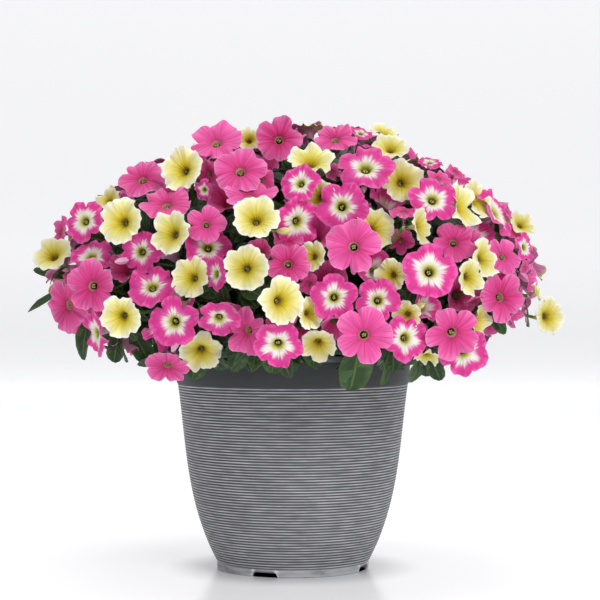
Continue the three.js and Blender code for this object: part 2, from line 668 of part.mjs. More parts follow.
// Leaves drawn at random round the blooms' tubes, kept where they fit between what is there
function growLeaves(stem, random, fits) {
  let kept = 0;
  const wanted = Math.min(LEAVES_ON_A_STEM, stem.blooms.length);
  for (let draw = 0; draw < 14 && kept < wanted; draw += 1) {
    const bloom = stem.blooms[draw % stem.blooms.length];
    const root = between(bloom.base, stem.fork, 0.05 + 0.3 * random());
    const out = outwardAt(bloom.centre);
    const aside = vec(random() - 0.5, random() - 0.5, random() - 0.5);
    aside.addScaledVector(out, -aside.dot(out)).normalize();
    const length = 34 + 14 * random();
    const along = out.clone().multiplyScalar(0.55).add(aside).normalize();
    const tip = root.clone().addScaledVector(along, length);
    if (fits({ root, tip, width: length * (0.42 + 0.12 * random()), out })) kept += 1;
  }
}

function plantMeshes() {
  const { blooms, stems } = layOut();
  blooms.forEach((bloom) => {
    bloom.whole = bloomSolid(bloom);
    bloom.wide = bloomSolid(bloom, GAP);
    bloom.core = bloomCore(bloom);
    bloom.wideCore = bloomCore(bloom, GAP);
    if (bloom === bloom.stem.leader) bloom.stem.hole = bloom.wideCore;
  });
  const earlier = (a, b) => blooms.indexOf(a) < blooms.indexOf(b);
  const inFront = (a, b) => a.layer > b.layer || (a.layer === b.layer && earlier(a, b));
  blooms.forEach((bloom) => {
    const others = blooms.filter((other) => other.stem !== bloom.stem);
    const cutters = [
      ...others.map((other) => other.wideCore),
      ...others.filter((other) => inFront(other, bloom)).map((other) => other.wide),
    ];
    const cut = mainBody(cutClear(bloom.whole, cutters));
    bloom.solid = cut.volume() > SOUND_SHARE * bloom.whole.volume() ? cut : cut.add(bloom.core);
  });
  const random = randomSource(SEED + 2);
  const placed = [];
  stems.forEach((stem) => {
    const near = blooms.filter((bloom) => bloom.stem !== stem).map((bloom) => bloom.wide);
    stem.extras = [];
    const own = placed.length;
    const fits = ({ root, tip, width, out }, share = 0.8) => {
      const leaf = leafSolid(root, tip, width, out);
      const rest = cutClear(leaf, [...near, ...placed.slice(0, own)]);
      const body = rest === leaf ? leaf : mainBody(rest);
      if (!body || body.volume() < share * leaf.volume()) return false;
      stem.extras.push(body);
      placed.push(leafSolid(root, tip, width, out, GAP));
      return true;
    };
    stem.leaves.forEach((leaf) => fits(leaf, 0.5));
    stem.buds.forEach(({ root, tip }) => {
      const bud = budSolid(root, tip);
      if ([...near, ...placed.slice(0, own)].some((other) => meets(bud, other))) return;
      stem.extras.push(bud);
      placed.push(budSolid(root, tip, GAP));
    });
    growLeaves(stem, random, fits);
  });
  const counts = { pink: 0, star: 0, yellow: 0 };
  const meshes = stems.map((stem) => {
    const parts = [...stem.blooms.map((bloom) => bloom.solid), ...stem.extras];
    const body = mainBody(parts.reduce((all, part) => all.add(part)).simplify(SMALLEST_DETAIL));
    counts[stem.variety] += 1;
    const name = `${stem.variety}_stem_${String(counts[stem.variety]).padStart(2, '0')}`;
    return meshOf(name, body, VARIETIES[stem.variety].colour, 0.6);
  });
  return { meshes, stems };
}

// The pot

function wallRadius(z) {
  const part = (z - FOOT_BAND_TOP) / (BAND_BOTTOM - FOOT_BAND_TOP);
  return WALL_FOOT_RADIUS + WALL_SPREAD * part - WALL_ROUNDING * part ** 2 + WALL_EASING * part ** 3;
}

function potSolid() {
  const inner = FOOT_RADIUS - FOOT_RING_WIDTH;
  const outline = [[0, FOOT_RING_HEIGHT], [inner, FOOT_RING_HEIGHT], [inner, 0], [FOOT_RADIUS, 0],
    [FOOT_RADIUS, FOOT_BAND_TOP]];
  for (let k = 0; k <= WALL_STEPS; k += 1) {
    const z = FOOT_BAND_TOP + (k * (BAND_BOTTOM - FOOT_BAND_TOP)) / WALL_STEPS;
    outline.push([wallRadius(z), z]);
  }
  const top = wallRadius(BAND_BOTTOM) + BAND_STEP;
  const band = top + BAND_FLARE;
  outline.push([top, BAND_BOTTOM], [band, RIM_BOTTOM], [band + RIM_LIP, RIM_BOTTOM + RIM_LIP],
    [band + RIM_LIP, RIM_TOP], [band - POT_WALL, RIM_TOP]);
  innerWall(0).forEach((point) => outline.push(point));
  outline.push([0, FOOT_RING_HEIGHT + POT_WALL]);
  const turned = new THREE.LatheGeometry(outline.map(([r, z]) => new THREE.Vector2(r, z)), POT_SIDES);
  turned.rotateX(Math.PI / 2);
  let pot = solidOf(turned);
  NOTCH_BEARINGS.forEach((bearing) => {
    const notch = new THREE.BoxGeometry(3 * FOOT_RING_WIDTH, NOTCH_WIDTH, 2 * NOTCH_HEIGHT);
    notch.translate(FOOT_RADIUS, 0, 0);
    notch.rotateZ(radians(bearing));
    pot = pot.subtract(solidOf(notch));
    const drain = new THREE.CylinderGeometry(DRAIN_RADIUS, DRAIN_RADIUS, 8 * POT_WALL, 8);
    drain.rotateX(Math.PI / 2);
    drain.translate(DRAIN_CIRCLE, 0, FOOT_RING_HEIGHT);
    drain.rotateZ(radians(bearing));
    pot = pot.subtract(solidOf(drain));
  });
  return pot;
}

// Points down the inside of the pot, from the top to the floor, at a distance in from the wall
function innerWall(inset) {
  const clear = POT_WALL + inset;
  const floor = FOOT_RING_HEIGHT + POT_WALL + inset;
  return [BAND_BOTTOM, 110, 48, floor].map((z) => [wallRadius(Math.max(z, FOOT_BAND_TOP)) - clear, z]);
}

function mixSolid(stems) {
  const [rim, ...wall] = innerWall(GAP);
  const slope = (wallRadius(BAND_BOTTOM) + BAND_STEP - wallRadius(BAND_BOTTOM)) / (RIM_BOTTOM - BAND_BOTTOM);
  const top = [rim[0] + slope * (MIX_TOP - BAND_BOTTOM), MIX_TOP];
  const outline = [[0, MIX_TOP + MIX_CROWN], top, rim, ...wall, [0, wall[wall.length - 1][1]]].reverse();
  const turned = new THREE.LatheGeometry(outline.map(([r, z]) => new THREE.Vector2(r, z)), POT_SIDES);
  turned.rotateX(Math.PI / 2);
  return stems.reduce((mix, stem) => mix.subtract(stem.hole), solidOf(turned));
}

const { meshes, stems } = plantMeshes();
const plant = new THREE.Group();
plant.add(meshOf('pot', potSolid(), POT_COLOUR, 0.55));
plant.add(meshOf('potting_mix', mixSolid(stems), MIX_COLOUR, 0.95));
meshes.forEach((mesh) => plant.add(mesh));

// The part's origin is under the middle of its outline, at the surface that the pot stands on
const outline = new THREE.Box3().setFromObject(plant);
plant.position.set(-(outline.min.x + outline.max.x) / 2, -(outline.min.y + outline.max.y) / 2, 0);

export default plant;
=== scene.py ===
"""A round ribbed nursery pot planted with a mound of spreading petunias of three varieties."""

import functools
import math
from types import SimpleNamespace

import bpy
import numpy as np
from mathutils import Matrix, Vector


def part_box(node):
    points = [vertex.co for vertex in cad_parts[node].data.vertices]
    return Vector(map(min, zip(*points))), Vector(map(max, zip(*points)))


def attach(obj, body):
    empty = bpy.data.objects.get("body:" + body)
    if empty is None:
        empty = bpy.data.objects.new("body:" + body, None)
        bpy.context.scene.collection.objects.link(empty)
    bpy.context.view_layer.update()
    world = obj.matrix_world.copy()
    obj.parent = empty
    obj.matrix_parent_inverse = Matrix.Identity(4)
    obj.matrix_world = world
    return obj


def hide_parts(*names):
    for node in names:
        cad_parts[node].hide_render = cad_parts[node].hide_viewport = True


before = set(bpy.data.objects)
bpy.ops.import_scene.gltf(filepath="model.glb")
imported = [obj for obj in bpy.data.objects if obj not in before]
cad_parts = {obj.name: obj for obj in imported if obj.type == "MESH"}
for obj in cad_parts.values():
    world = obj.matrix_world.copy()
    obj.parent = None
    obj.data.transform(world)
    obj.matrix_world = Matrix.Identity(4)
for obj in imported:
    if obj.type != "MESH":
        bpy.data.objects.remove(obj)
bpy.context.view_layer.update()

# Driving dimensions of the pot in mm, the same as in the solids
POT_WALL = 3
FOOT_RADIUS = 84
FOOT_RING_WIDTH = 6
FOOT_RING_HEIGHT = 6
FOOT_BAND_TOP = 8
WALL_FOOT_RADIUS = 84.3
WALL_SPREAD = 105.6
WALL_ROUNDING = 109.3
WALL_EASING = 47.5
BAND_BOTTOM = 205
BAND_STEP = 1
BAND_FLARE = 1.6
RIM_BOTTOM = 231
RIM_TOP = 238
RIM_LIP = 1.6
NOTCH_BEARINGS = (-111, -21, 69, 159)
NOTCH_WIDTH = 29
NOTCH_HEIGHT = 5
NOTCH_WEAR = 3.2
DRAIN_RADIUS = 7
DRAIN_CIRCLE = 52
MIX_TOP = 212
MIX_CROWN = 3
ROOT_DEPTH = 15

# What only the visible pot has. A rib's section: share of its pitch, and share of its depth
POT_SIDES = 120
RIB_COUNT = 65
RIB_DEPTH = 0.8
RIB_SECTION = ((0.0, 0.0), (0.22, 0.75), (0.42, 1.0), (0.62, 0.85), (0.84, 0.15))
INNER_LEVELS = (205, 175, 145, 115, 85, 60, 38, 20)
NOTCH_SPLAY = 1.5
SHARP_CUT = 40
MIX_SIDES, MIX_RINGS = 72, 20
MIX_GAP = 0.6
MIX_ROUGHNESS = 0.9
CRUMBS = 260

# How far the shade under the pot lies above the floor, in metres
SHADE_LIFT = 0.00005

# Driving dimensions of the mound in mm: half axes about a centre, higher above it than below
MOUND_X, MOUND_Z = 5.8, 286
MOUND_ACROSS, MOUND_DEEP = 292, 266
MOUND_UP, MOUND_DOWN = 212, 92

# The reference view: its camera in mm from the pot's axis, and its 600 x 600 pixels
VIEW_DISTANCE, VIEW_FOCAL = 2000, 1795
VIEW_X, VIEW_Z = 8, 297
VIEW_CENTRE, VIEW_SIZE = 300, 600

# Driving dimensions of the plants, the same as in the solids
STEM_COUNT = 48
MOST_BLOOMS_ON_A_STEM = 5
STEM_RADIUS = 2.2
STALK_RADIUS = 1.25
FORK_RADIUS = 3.4
ROOT_SPREAD = 90
ROOT_SPACING = 17
FORK_CORE = 262
LAYER_STEP = 8
LAYER_GAP = 5
LAYER_EASE, LAYER_ROUNDS = 0.25, 40
LAYER_OVERLAP = 2
MOST_FORWARD, MOST_BACK = 26, -34
LEAST_SLOPE = 0.35
SIGHT_ROUNDS = 24
REAR_BLOOMS = 600
REAR_LOWEST = -0.6
REAR_SWAY = 0.12
REAR_SPACING = 47
REAR_LEAST_SIZE, REAR_SIZE_RANGE = 0.98, 0.16
REAR_OUTWARD = 1.5
REAR_SINK_LEAST, REAR_SINK_MOST = 8, 20
REAR_SINK_STEP, REAR_SINK_LIMIT = 6, 70
REAR_START = -40
CROWN_START = -150
CROWN_HEIGHT = 466
TUBE_LENGTH = 1.05
TUBE_RADIUS = 1.9
TUBE_TOP, TUBE_CLEARANCE = 0.4, 3.2
NECK_SPREAD, NECK_HEIGHT = 1.04, 20
SPREAD_DISTANCE = 250
ROOT_SLACK, ROOT_ROUNDS = 8, 60
FORK_PARTS = (0.66, 0.74, 0.58, 0.82, 0.5, 0.42)
FORK_SHIFTS = (0, 7, -7, 14, -14, 21, -21)
FORK_LIFTS = (0, 8, -8, 16)
STALK_GAP, FAR_APART = 1, 99
RIM_CLEARANCE, LOW_STALKS = 146, 300
LEAST_LEAF_STALK = 24
BUD_LIFT = 6
WAVE_SIZE, WAVES = 0.14, 15
SKIRT_ROW = 346
SKIRT_SETBACK = 16
PLAIN_RADIUS = 25
SEED = 20417
LEAF_SEED, MIX_SEED, DEEP_SEED, YOUNG_SEED, PETAL_SEED = range(SEED, SEED + 5)
GOLDEN_ANGLE = math.pi * (3 - math.sqrt(5))

# The inside of a bloom from its tube to its rim, as shares of its radius: out from the axis, and along it
OPEN_FACE = (
    (0.085, -1.05), (0.095, -0.80), (0.105, -0.55), (0.12, -0.36), (0.145, -0.24), (0.18, -0.16),
    (0.23, -0.105), (0.31, -0.065), (0.43, -0.03), (0.56, -0.005), (0.70, 0.008), (0.86, 0.008), (1.0, 0.0),
)
FUNNEL = (
    (0.085, -1.05), (0.08, -0.80), (0.075, -0.60), (0.115, -0.45), (0.18, -0.33), (0.26, -0.24),
    (0.34, -0.165), (0.43, -0.10), (0.56, -0.045), (0.70, -0.015), (0.82, 0.0), (0.92, 0.003), (1.0, 0.0),
)
HALF_OPEN = (
    (0.10, -1.50), (0.13, -1.10), (0.20, -0.80), (0.34, -0.52), (0.54, -0.30), (0.75, -0.14), (0.90, -0.05),
    (1.0, 0.0),
)
POINTS_ON_A_LOBE = 13

# Waves round a bloom: how many there are in its outline and its ruffles. Sizes are shares of the radius
OUTLINE_WAVES, OUTLINE_SWAY = (2, 3, 4), 0.022
RUFFLE_WAVES = (5, 7, 9, 12, 16)
GROOVE_DEPTH, SEAM_DEPTH = 0.04, 0.05
MOST_CURL = 0.3

PLAIN_LOBE = (0, 36)
FULL_LOBE = (-13, 13, 36)

# The three varieties: bloom radius in mm, rim points of a petal lobe in the solids, cupping, and the looks.
# Notches between the lobes, points on them, ruffles and frills are shares of the radius
VARIETIES = {
    "pink": SimpleNamespace(
        radius=27.5, lobe=FULL_LOBE, cup=0.02, profile=OPEN_FACE, notch=0.24, point=0.06, ruffle=0.046,
        frill=0.017, frills=19),
    "star": SimpleNamespace(
        radius=26, lobe=FULL_LOBE, cup=0.02, profile=OPEN_FACE, notch=0.21, point=0.065, ruffle=0.048,
        frill=0.017, frills=17),
    "yellow": SimpleNamespace(
        radius=22.5, lobe=PLAIN_LOBE, cup=0.12, profile=FUNNEL, notch=0.15, point=0.01, ruffle=0.058,
        frill=0.034, frills=16),
}

# Young blooms, half open, that fill the gaps between the others a little deeper in: sizes in mm
YOUNG = SimpleNamespace(
    cup=0.1, profile=HALF_OPEN, notch=0.14, point=0.05, ruffle=0.06, frill=0.012, frills=13)
YOUNG_SPOTS = 4000
YOUNG_REACH = 1.55
YOUNG_RADII = (20, 18, 16, 14)
YOUNG_LEAST_DEPTH, YOUNG_MOST_DEPTH = 8, 30
YOUNG_SPACING = 48
YOUNG_LIMIT = 0.97
RIM_DROP = 0.06
PETAL_THICKNESS = 0.4

# Leaves: sizes in mm, and how far out of the mound each kind may reach, as a share of it
LEAF_THICKNESS = 0.6
LEAF_FULLNESS = 1.3
SPARE_LEAVES_A_BLOOM, SPARE_LEAVES_A_STEM = 10, 4
SPARE_TRIES_A_LEAF = 9
SPARE_REACH = 0.94
INNER_LEAVES = 16
INNER_TRIES = 90
INNER_REACH = 0.82
TIP_SLIDES = (0, 6, 12, 18, 24, 30, 36)
EDGE_LEAF_SHAPE = (0.05, 0.18)
RIM_TRIES = 700
RIM_SPACING = 13
RIM_LEAF_LENGTHS = (28, 62)
RIM_LEAF_WIDTH = 0.42
RIM_REACH = 1.0
SKIRT_TRIES = 260
SKIRT_REACH = 1.04
SKIRT_STALK = 60
CLEAR_FACE = (-60, 200)


def bloom_of(variety):
    def seen(px, py, size, yaw, pitch, layer):
        return SimpleNamespace(variety=variety, px=px, py=py, size=size, yaw=yaw, pitch=pitch, layer=layer)
    return seen


pink, star, yellow = bloom_of("pink"), bloom_of("star"), bloom_of("yellow")

# Blooms seen from the front: place and radius in pixels, the way it faces in degrees, and its layer
FRONT_BLOOMS = (
    star(84, 221, 22, -22, 10, 0), pink(60, 232, 16, -60, 10, -1), yellow(108, 199, 14, -30, 40, -1),
    pink(142, 178, 24, -10, 38, 0), yellow(121, 221, 24, -24, 8, 1), pink(166, 203, 26, -5, 50, 0),
    yellow(182, 169, 23, -26, 12, 1), pink(216, 141, 27, -5, 40, 0), yellow(249, 139, 14, 0, 30, -2),
    pink(279, 139, 24, 0, 15, 0), pink(240, 170, 27, -3, 28, 1), pink(264, 180, 15, 40, 10, -1),
    pink(250, 194, 27, 0, 60, 0), pink(208, 174, 15, -35, 0, -2), star(204, 190, 11, -30, -10, -2),
    yellow(256, 218, 24, 0, 25, 1), yellow(171, 233, 23, -32, 12, 1), pink(206, 224, 20, 0, 15, 0),
    star(208, 247, 24, 0, 20, -1), yellow(311, 160, 24, 5, 48, 0), star(300, 183, 20, -20, 20, 1),
    pink(335, 138, 22, -5, 45, 0), star(361, 133, 12, 20, 50, -1), yellow(384, 131, 16, 30, 60, -1),
    yellow(391, 147, 19, 10, 48, 0), star(366, 167, 29, 3, 40, 2), pink(332, 171, 11, 30, 30, -2),
    yellow(319, 197, 18, -20, 0, -1), star(342, 206, 26, 0, 10, 1), yellow(374, 229, 23, 20, 5, 0),
    pink(353, 246, 28, -8, 8, 2), star(298, 222, 25, 25, -10, -1), pink(288, 238, 16, 10, 30, -2),
    yellow(402, 181, 22, 8, 12, 0), star(430, 162, 13, 10, 60, -1), pink(438, 178, 13, 10, 50, 1),
    pink(456, 172, 10, 40, 40, 0), star(433, 199, 25, 10, 25, 1), yellow(462, 206, 25, 62, 15, 1),
    yellow(477, 199, 21, 52, 20, 0), star(497, 212, 27, 62, 25, 1), pink(507, 211, 9, 60, 30, -1),
    yellow(522, 224, 15, 30, 30, -1), pink(404, 211, 15, 0, 65, 0), yellow(421, 226, 19, 62, 5, 1),
    pink(401, 241, 14, 0, -20, -2), pink(454, 242, 22, 5, 20, 0), yellow(484, 258, 20, 50, 10, 1),
    yellow(470, 277, 19, 45, 0, 1), pink(504, 256, 20, 30, 20, -1), star(525, 247, 15, 50, 10, 0),
    pink(525, 268, 9, 50, -10, -1), pink(502, 297, 26, 30, 5, 1), yellow(537, 292, 10, 70, 20, -1),
    yellow(549, 316, 20, 35, 5, -1), star(430, 271, 28, 8, 15, 2), yellow(391, 275, 17, -28, 0, 0),
    star(334, 297, 24, 0, 5, 1), star(378, 300, 23, 5, 10, 1), pink(364, 335, 29, 0, 0, 2),
    yellow(407, 315, 15, -10, -10, -1), star(406, 338, 24, 25, 0, 1), pink(453, 334, 28, 12, -18, 2),
    star(464, 353, 25, 10, -20, 1), yellow(479, 322, 20, 60, -10, 0), yellow(427, 357, 13, -10, -60, 0),
    pink(475, 301, 11, 40, -60, -1), yellow(52, 254, 21, -20, 35, 0), star(91, 256, 23, -15, 42, -1),
    pink(91, 286, 27, -20, 0, 1), pink(66, 306, 28, -45, -8, 0), star(95, 333, 23, -62, -10, 0),
    yellow(121, 317, 22, -20, -10, 1), star(141, 252, 22, -15, 0, 0), star(152, 286, 25, -5, 35, 0),
    star(174, 322, 26, -12, -5, 1), pink(167, 368, 23, -10, -45, 1), yellow(191, 277, 22, -25, 10, 1),
    star(215, 274, 19, -55, 0, 1), yellow(246, 268, 23, -5, 5, 1), pink(288, 263, 23, 0, 20, 0),
    yellow(282, 301, 25, 30, 0, 2), yellow(312, 256, 16, -30, 10, -1), star(219, 319, 22, 0, -35, 1),
    pink(246, 331, 25, -40, -10, 0), yellow(201, 352, 22, 0, -25, 0), star(278, 345, 25, 0, -25, 1),
    yellow(310, 313, 17, 40, 0, 0), yellow(318, 345, 19, -5, -35, -1), pink(309, 284, 11, 0, 0, -2),
)


def leaf_tip(px, py, width):
    return SimpleNamespace(px=px, py=py, width=width)


# Leaves that hang over the rim or stick out of the outline: the pixel of the tip, and the width in mm
EDGE_LEAVES = (
    leaf_tip(192, 380, 17), leaf_tip(229, 371, 17), leaf_tip(251, 372, 15), leaf_tip(272, 374, 18),
    leaf_tip(291, 379, 14), leaf_tip(313, 367, 18), leaf_tip(350, 391, 30), leaf_tip(381, 386, 9),
    leaf_tip(393, 372, 16), leaf_tip(410, 383, 16), leaf_tip(427, 377, 14), leaf_tip(441, 381, 14),
    leaf_tip(83, 361, 18), leaf_tip(114, 363, 15), leaf_tip(128, 363, 14), leaf_tip(137, 365, 12),
    leaf_tip(27, 313, 9), leaf_tip(50, 284, 9), leaf_tip(33, 269, 9), leaf_tip(505, 335, 12),
    leaf_tip(527, 327, 12), leaf_tip(308, 132, 12), leaf_tip(104, 238, 16), leaf_tip(327, 345, 14),
)


def bud_tip(px, py):
    return SimpleNamespace(px=px, py=py)


# Closed and withered buds seen from the front, by the pixel of the tip
BUDS = (
    bud_tip(111, 185), bud_tip(291, 231), bud_tip(354, 274), bud_tip(425, 303), bud_tip(528, 281),
    bud_tip(363, 190), bud_tip(115, 262), bud_tip(172, 352),
)

# Pixels where daylight would show between the blooms: a leaf lies behind each
DAYLIGHT_SPOTS = ((92, 238), (144, 352))
DAYLIGHT_DEPTH = 34

# How far the plant reaches from a pixel of the view, by the bearing in degrees: leaves stay inside
SEEN_MIDDLE = (300, 260)
SEEN_REACH = (
    (0, 238), (10, 238), (20, 208), (30, 183), (40, 158), (60, 152), (90, 136), (110, 140), (130, 162),
    (150, 188), (160, 205), (170, 238), (180, 262), (190, 255), (200, 236), (210, 195), (218, 168),
    (240, 130), (270, 112), (300, 126), (322, 178), (340, 212), (350, 262), (360, 238),
)

# Where the pot's axis stands in the row frame, in mm
pot_low, pot_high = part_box("pot")
POT_PLACE = np.array(((pot_low.x + pot_high.x) * 500, (pot_low.y + pot_high.y) * 500, 0.0))
MM = 0.001


# Where everything grows: the same layout as the solids', worked out by the same steps

def random_source(seed):
    """A repeatable run of numbers from 0 to 1."""
    state = seed
    while True:
        state = (state * 1664525 + 1013904223) % 2 ** 32
        yield state / 2 ** 32


def vec(x, y, z):
    return np.array((x, y, z), float)


def unit(v):
    return v / math.sqrt(v @ v)


def on_mound(px, py):
    """The point of the mound behind a pixel of the reference view."""
    x = y = z = 0.0
    for _ in range(SIGHT_ROUNDS):
        scale = (VIEW_DISTANCE + y) / VIEW_FOCAL
        x = VIEW_X + (px - VIEW_CENTRE) * scale
        z = VIEW_Z - (py - VIEW_CENTRE) * scale
        fall = MOUND_UP if z > MOUND_Z else MOUND_DOWN
        reach = ((x - MOUND_X) / MOUND_ACROSS) ** 2 + ((z - MOUND_Z) / fall) ** 2
        y = (y - MOUND_DEEP * math.sqrt(max(0, 1 - reach))) / 2
    return vec(x, y, z)


def on_skirt(px, py):
    """The tip of a leaf that hangs below the mound, under the edge of the mound above it."""
    depth = on_mound(px, min(py, SKIRT_ROW))[1] + (SKIRT_SETBACK if py > SKIRT_ROW else 0)
    scale = (VIEW_DISTANCE + depth) / VIEW_FOCAL
    return vec(VIEW_X + (px - VIEW_CENTRE) * scale, depth, VIEW_Z - (py - VIEW_CENTRE) * scale)


def facing(yaw, pitch):
    turn, rise = math.radians(yaw), math.radians(pitch)
    return vec(math.sin(turn) * math.cos(rise), -math.cos(turn) * math.cos(rise), math.sin(rise))


def outward_at(point):
    fall = MOUND_UP if point[2] > MOUND_Z else MOUND_DOWN
    return unit(vec((point[0] - MOUND_X) / MOUND_ACROSS ** 2, point[1] / MOUND_DEEP ** 2,
                    (point[2] - MOUND_Z) / fall ** 2))


def nearer(point, depth):
    """Moves a point along its sight line towards the viewer, so its pixel stays."""
    return point + unit(vec(VIEW_X, -VIEW_DISTANCE, VIEW_Z) - point) * depth


def in_outline(points):
    """Whether points are inside the outline of the plant as the reference view shows it."""
    scale = VIEW_FOCAL / (VIEW_DISTANCE + points[:, 1])
    across = VIEW_CENTRE + (points[:, 0] - VIEW_X) * scale - SEEN_MIDDLE[0]
    up = SEEN_MIDDLE[1] - VIEW_CENTRE + (points[:, 2] - VIEW_Z) * scale
    bearings, reach = np.array(SEEN_REACH).T
    limit = np.interp(np.degrees(np.arctan2(up, across)) % 360, bearings, reach)
    return bool((np.hypot(across, up) < limit).all())


def part_in_depth(a, b):
    """Two blooms that cover each other in the view are drawn apart in depth where they cross."""
    apart = math.hypot(a.seat[0] - b.seat[0], a.seat[2] - b.seat[2])
    a_depth = a.depth - a.seat[1]
    b_depth = b.depth - b.seat[1]
    a_in_front = a_depth > b_depth if a.layer == b.layer else a.layer > b.layer
    front, back = (a, b) if a_in_front else (b, a)
    share = (a.radius + apart - b.radius) / (2 * max(apart, 1))
    x = a.seat[0] + (b.seat[0] - a.seat[0]) * share
    z = a.seat[2] + (b.seat[2] - a.seat[2]) * share

    def depth_at(bloom):
        tilt = bloom.normal[0] * (x - bloom.seat[0]) + bloom.normal[2] * (z - bloom.seat[2])
        return bloom.depth - bloom.seat[1] - tilt / bloom.slope

    lack = LAYER_GAP - (depth_at(front) - depth_at(back))
    if lack > 0:
        front.depth = min(MOST_FORWARD, front.depth + lack * LAYER_EASE)
        back.depth = max(MOST_BACK, back.depth - lack * LAYER_EASE)


def front_blooms():
    blooms = []
    for seen in FRONT_BLOOMS:
        seat = on_mound(seen.px, seen.py)
        scale = (VIEW_DISTANCE + seat[1]) / VIEW_FOCAL
        normal = facing(seen.yaw, seen.pitch)
        blooms.append(SimpleNamespace(
            variety=seen.variety, rear=False, layer=seen.layer, seat=seat, normal=normal,
            radius=seen.size * scale, depth=seen.layer * LAYER_STEP, slope=max(LEAST_SLOPE, -normal[1])))
    crossing = []
    for i, a in enumerate(blooms):
        for b in blooms[i + 1:]:
            apart = math.hypot(a.seat[0] - b.seat[0], a.seat[2] - b.seat[2])
            if apart <= a.radius + b.radius - LAYER_OVERLAP:
                crossing.append((a, b))
    for _ in range(LAYER_ROUNDS):
        for a, b in crossing:
            part_in_depth(a, b)
    for bloom in blooms:
        bloom.centre = nearer(bloom.seat, bloom.depth)
    return blooms


def skin_point(rise, bearing):
    """The point of the mound's skin at a share of its height, from -1 to 1, and a bearing."""
    flat = math.sqrt(1 - rise * rise)
    fall = MOUND_UP if rise > 0 else MOUND_DOWN
    return vec(MOUND_X + MOUND_ACROSS * flat * math.cos(bearing), MOUND_DEEP * flat * math.sin(bearing),
               MOUND_Z + fall * rise)


def level_side(normal):
    return unit(vec(-normal[1], normal[0], 0))


def side_of(axis):
    """A direction square to an axis, the same one each time."""
    return unit(np.cross(axis, (0.31, 0.52, 0.79)))


def circle_of(side, other, count):
    """Points of a circle of radius 1 about the origin, from one direction on towards another."""
    turn = np.arange(count)[:, None] * 2 * math.pi / count
    return np.cos(turn) * side + np.sin(turn) * other


def circle_round(normal, radius):
    """Eight points of a circle about the origin that faces along a direction."""
    side = level_side(normal)
    return radius * circle_of(side, np.cross(normal, side), 8)


def rear_blooms(front):
    """Blooms on the sides and the back: a golden-angle spiral, clear of the blooms in front."""
    draw = random_source(SEED)
    rear = []
    for k in range(REAR_BLOOMS):
        rise = 1 - ((1 - REAR_LOWEST) * (k + 0.5)) / REAR_BLOOMS
        bearing = k * GOLDEN_ANGLE + (next(draw) - 0.5) * REAR_SWAY
        sink = REAR_SINK_LEAST + (REAR_SINK_MOST - REAR_SINK_LEAST) * next(draw)
        seat = skin_point(rise, bearing)
        variety = tuple(VARIETIES)[int(next(draw) * len(VARIETIES))]
        radius = VARIETIES[variety].radius * (REAR_LEAST_SIZE + REAR_SIZE_RANGE * next(draw))
        lean = vec(next(draw) - 0.5, next(draw) - 0.5, next(draw) * 0.8 - 0.2)
        outward = outward_at(seat)
        normal = unit(outward * REAR_OUTWARD + lean)
        rim = circle_round(normal, radius)
        seat = seat - outward * sink
        while sink < REAR_SINK_LIMIT and not in_outline(seat + rim):
            seat = seat - outward * REAR_SINK_STEP
            sink += REAR_SINK_STEP
        start = CROWN_START if seat[2] > CROWN_HEIGHT else REAR_START
        clear = all(math.dist(other.centre, seat) > REAR_SPACING for other in front + rear)
        if seat[1] > start and clear:
            rear.append(SimpleNamespace(
                variety=variety, rear=True, layer=0, centre=seat, normal=normal, radius=radius))
    return rear


def gather_stems(blooms):
    """Blooms of one variety that are near each other grow on one stem."""
    stems = [SimpleNamespace(variety=bloom.variety, blooms=[bloom], middle=bloom.centre) for bloom in blooms]
    while len(stems) > STEM_COUNT:
        middles = np.array([stem.middle for stem in stems])
        counts = np.array([len(stem.blooms) for stem in stems])
        kinds = np.array([stem.variety for stem in stems])
        alike = (kinds[:, None] == kinds) & (counts[:, None] + counts <= MOST_BLOOMS_ON_A_STEM)
        apart = np.linalg.norm(middles[:, None] - middles, axis=2)
        apart[~np.triu(alike, 1)] = np.inf
        i, j = np.unravel_index(np.argmin(apart), apart.shape)
        taken = stems.pop(j)
        stem = stems[i]
        stem.blooms = stem.blooms + taken.blooms
        stem.middle = sum(bloom.centre * (1 / len(stem.blooms)) for bloom in stem.blooms)
    return stems


def plant_roots(stems):
    """Roots stand under their stems' forks, drawn together into the pot and spaced out."""
    roots = []
    for stem in stems:
        away = math.hypot(stem.middle[0], stem.middle[1])
        radius = ROOT_SPREAD * min(1, away / SPREAD_DISTANCE)
        roots.append(complex(stem.middle[0] / away * radius, stem.middle[1] / away * radius))
    for _ in range(ROOT_ROUNDS):
        for i in range(len(roots)):
            for j in range(i + 1, len(roots)):
                step = roots[j] - roots[i]
                apart = max(abs(step), 0.1)
                if apart < ROOT_SPACING:
                    step *= (ROOT_SPACING - apart) / (2 * apart)
                    roots[j] += step
                    roots[i] -= step
        roots = [root * min(1, (ROOT_SPREAD + ROOT_SLACK) / max(abs(root), 1)) for root in roots]
    for stem, root in zip(stems, roots):
        stem.root = vec(root.real, root.imag, MIX_TOP - ROOT_DEPTH)


def span(start, end, radius):
    """A straight length of stalk as one row of numbers."""
    return np.concatenate((start, end, (radius,)))


def dot(a, b):
    return (a * b).sum(-1)


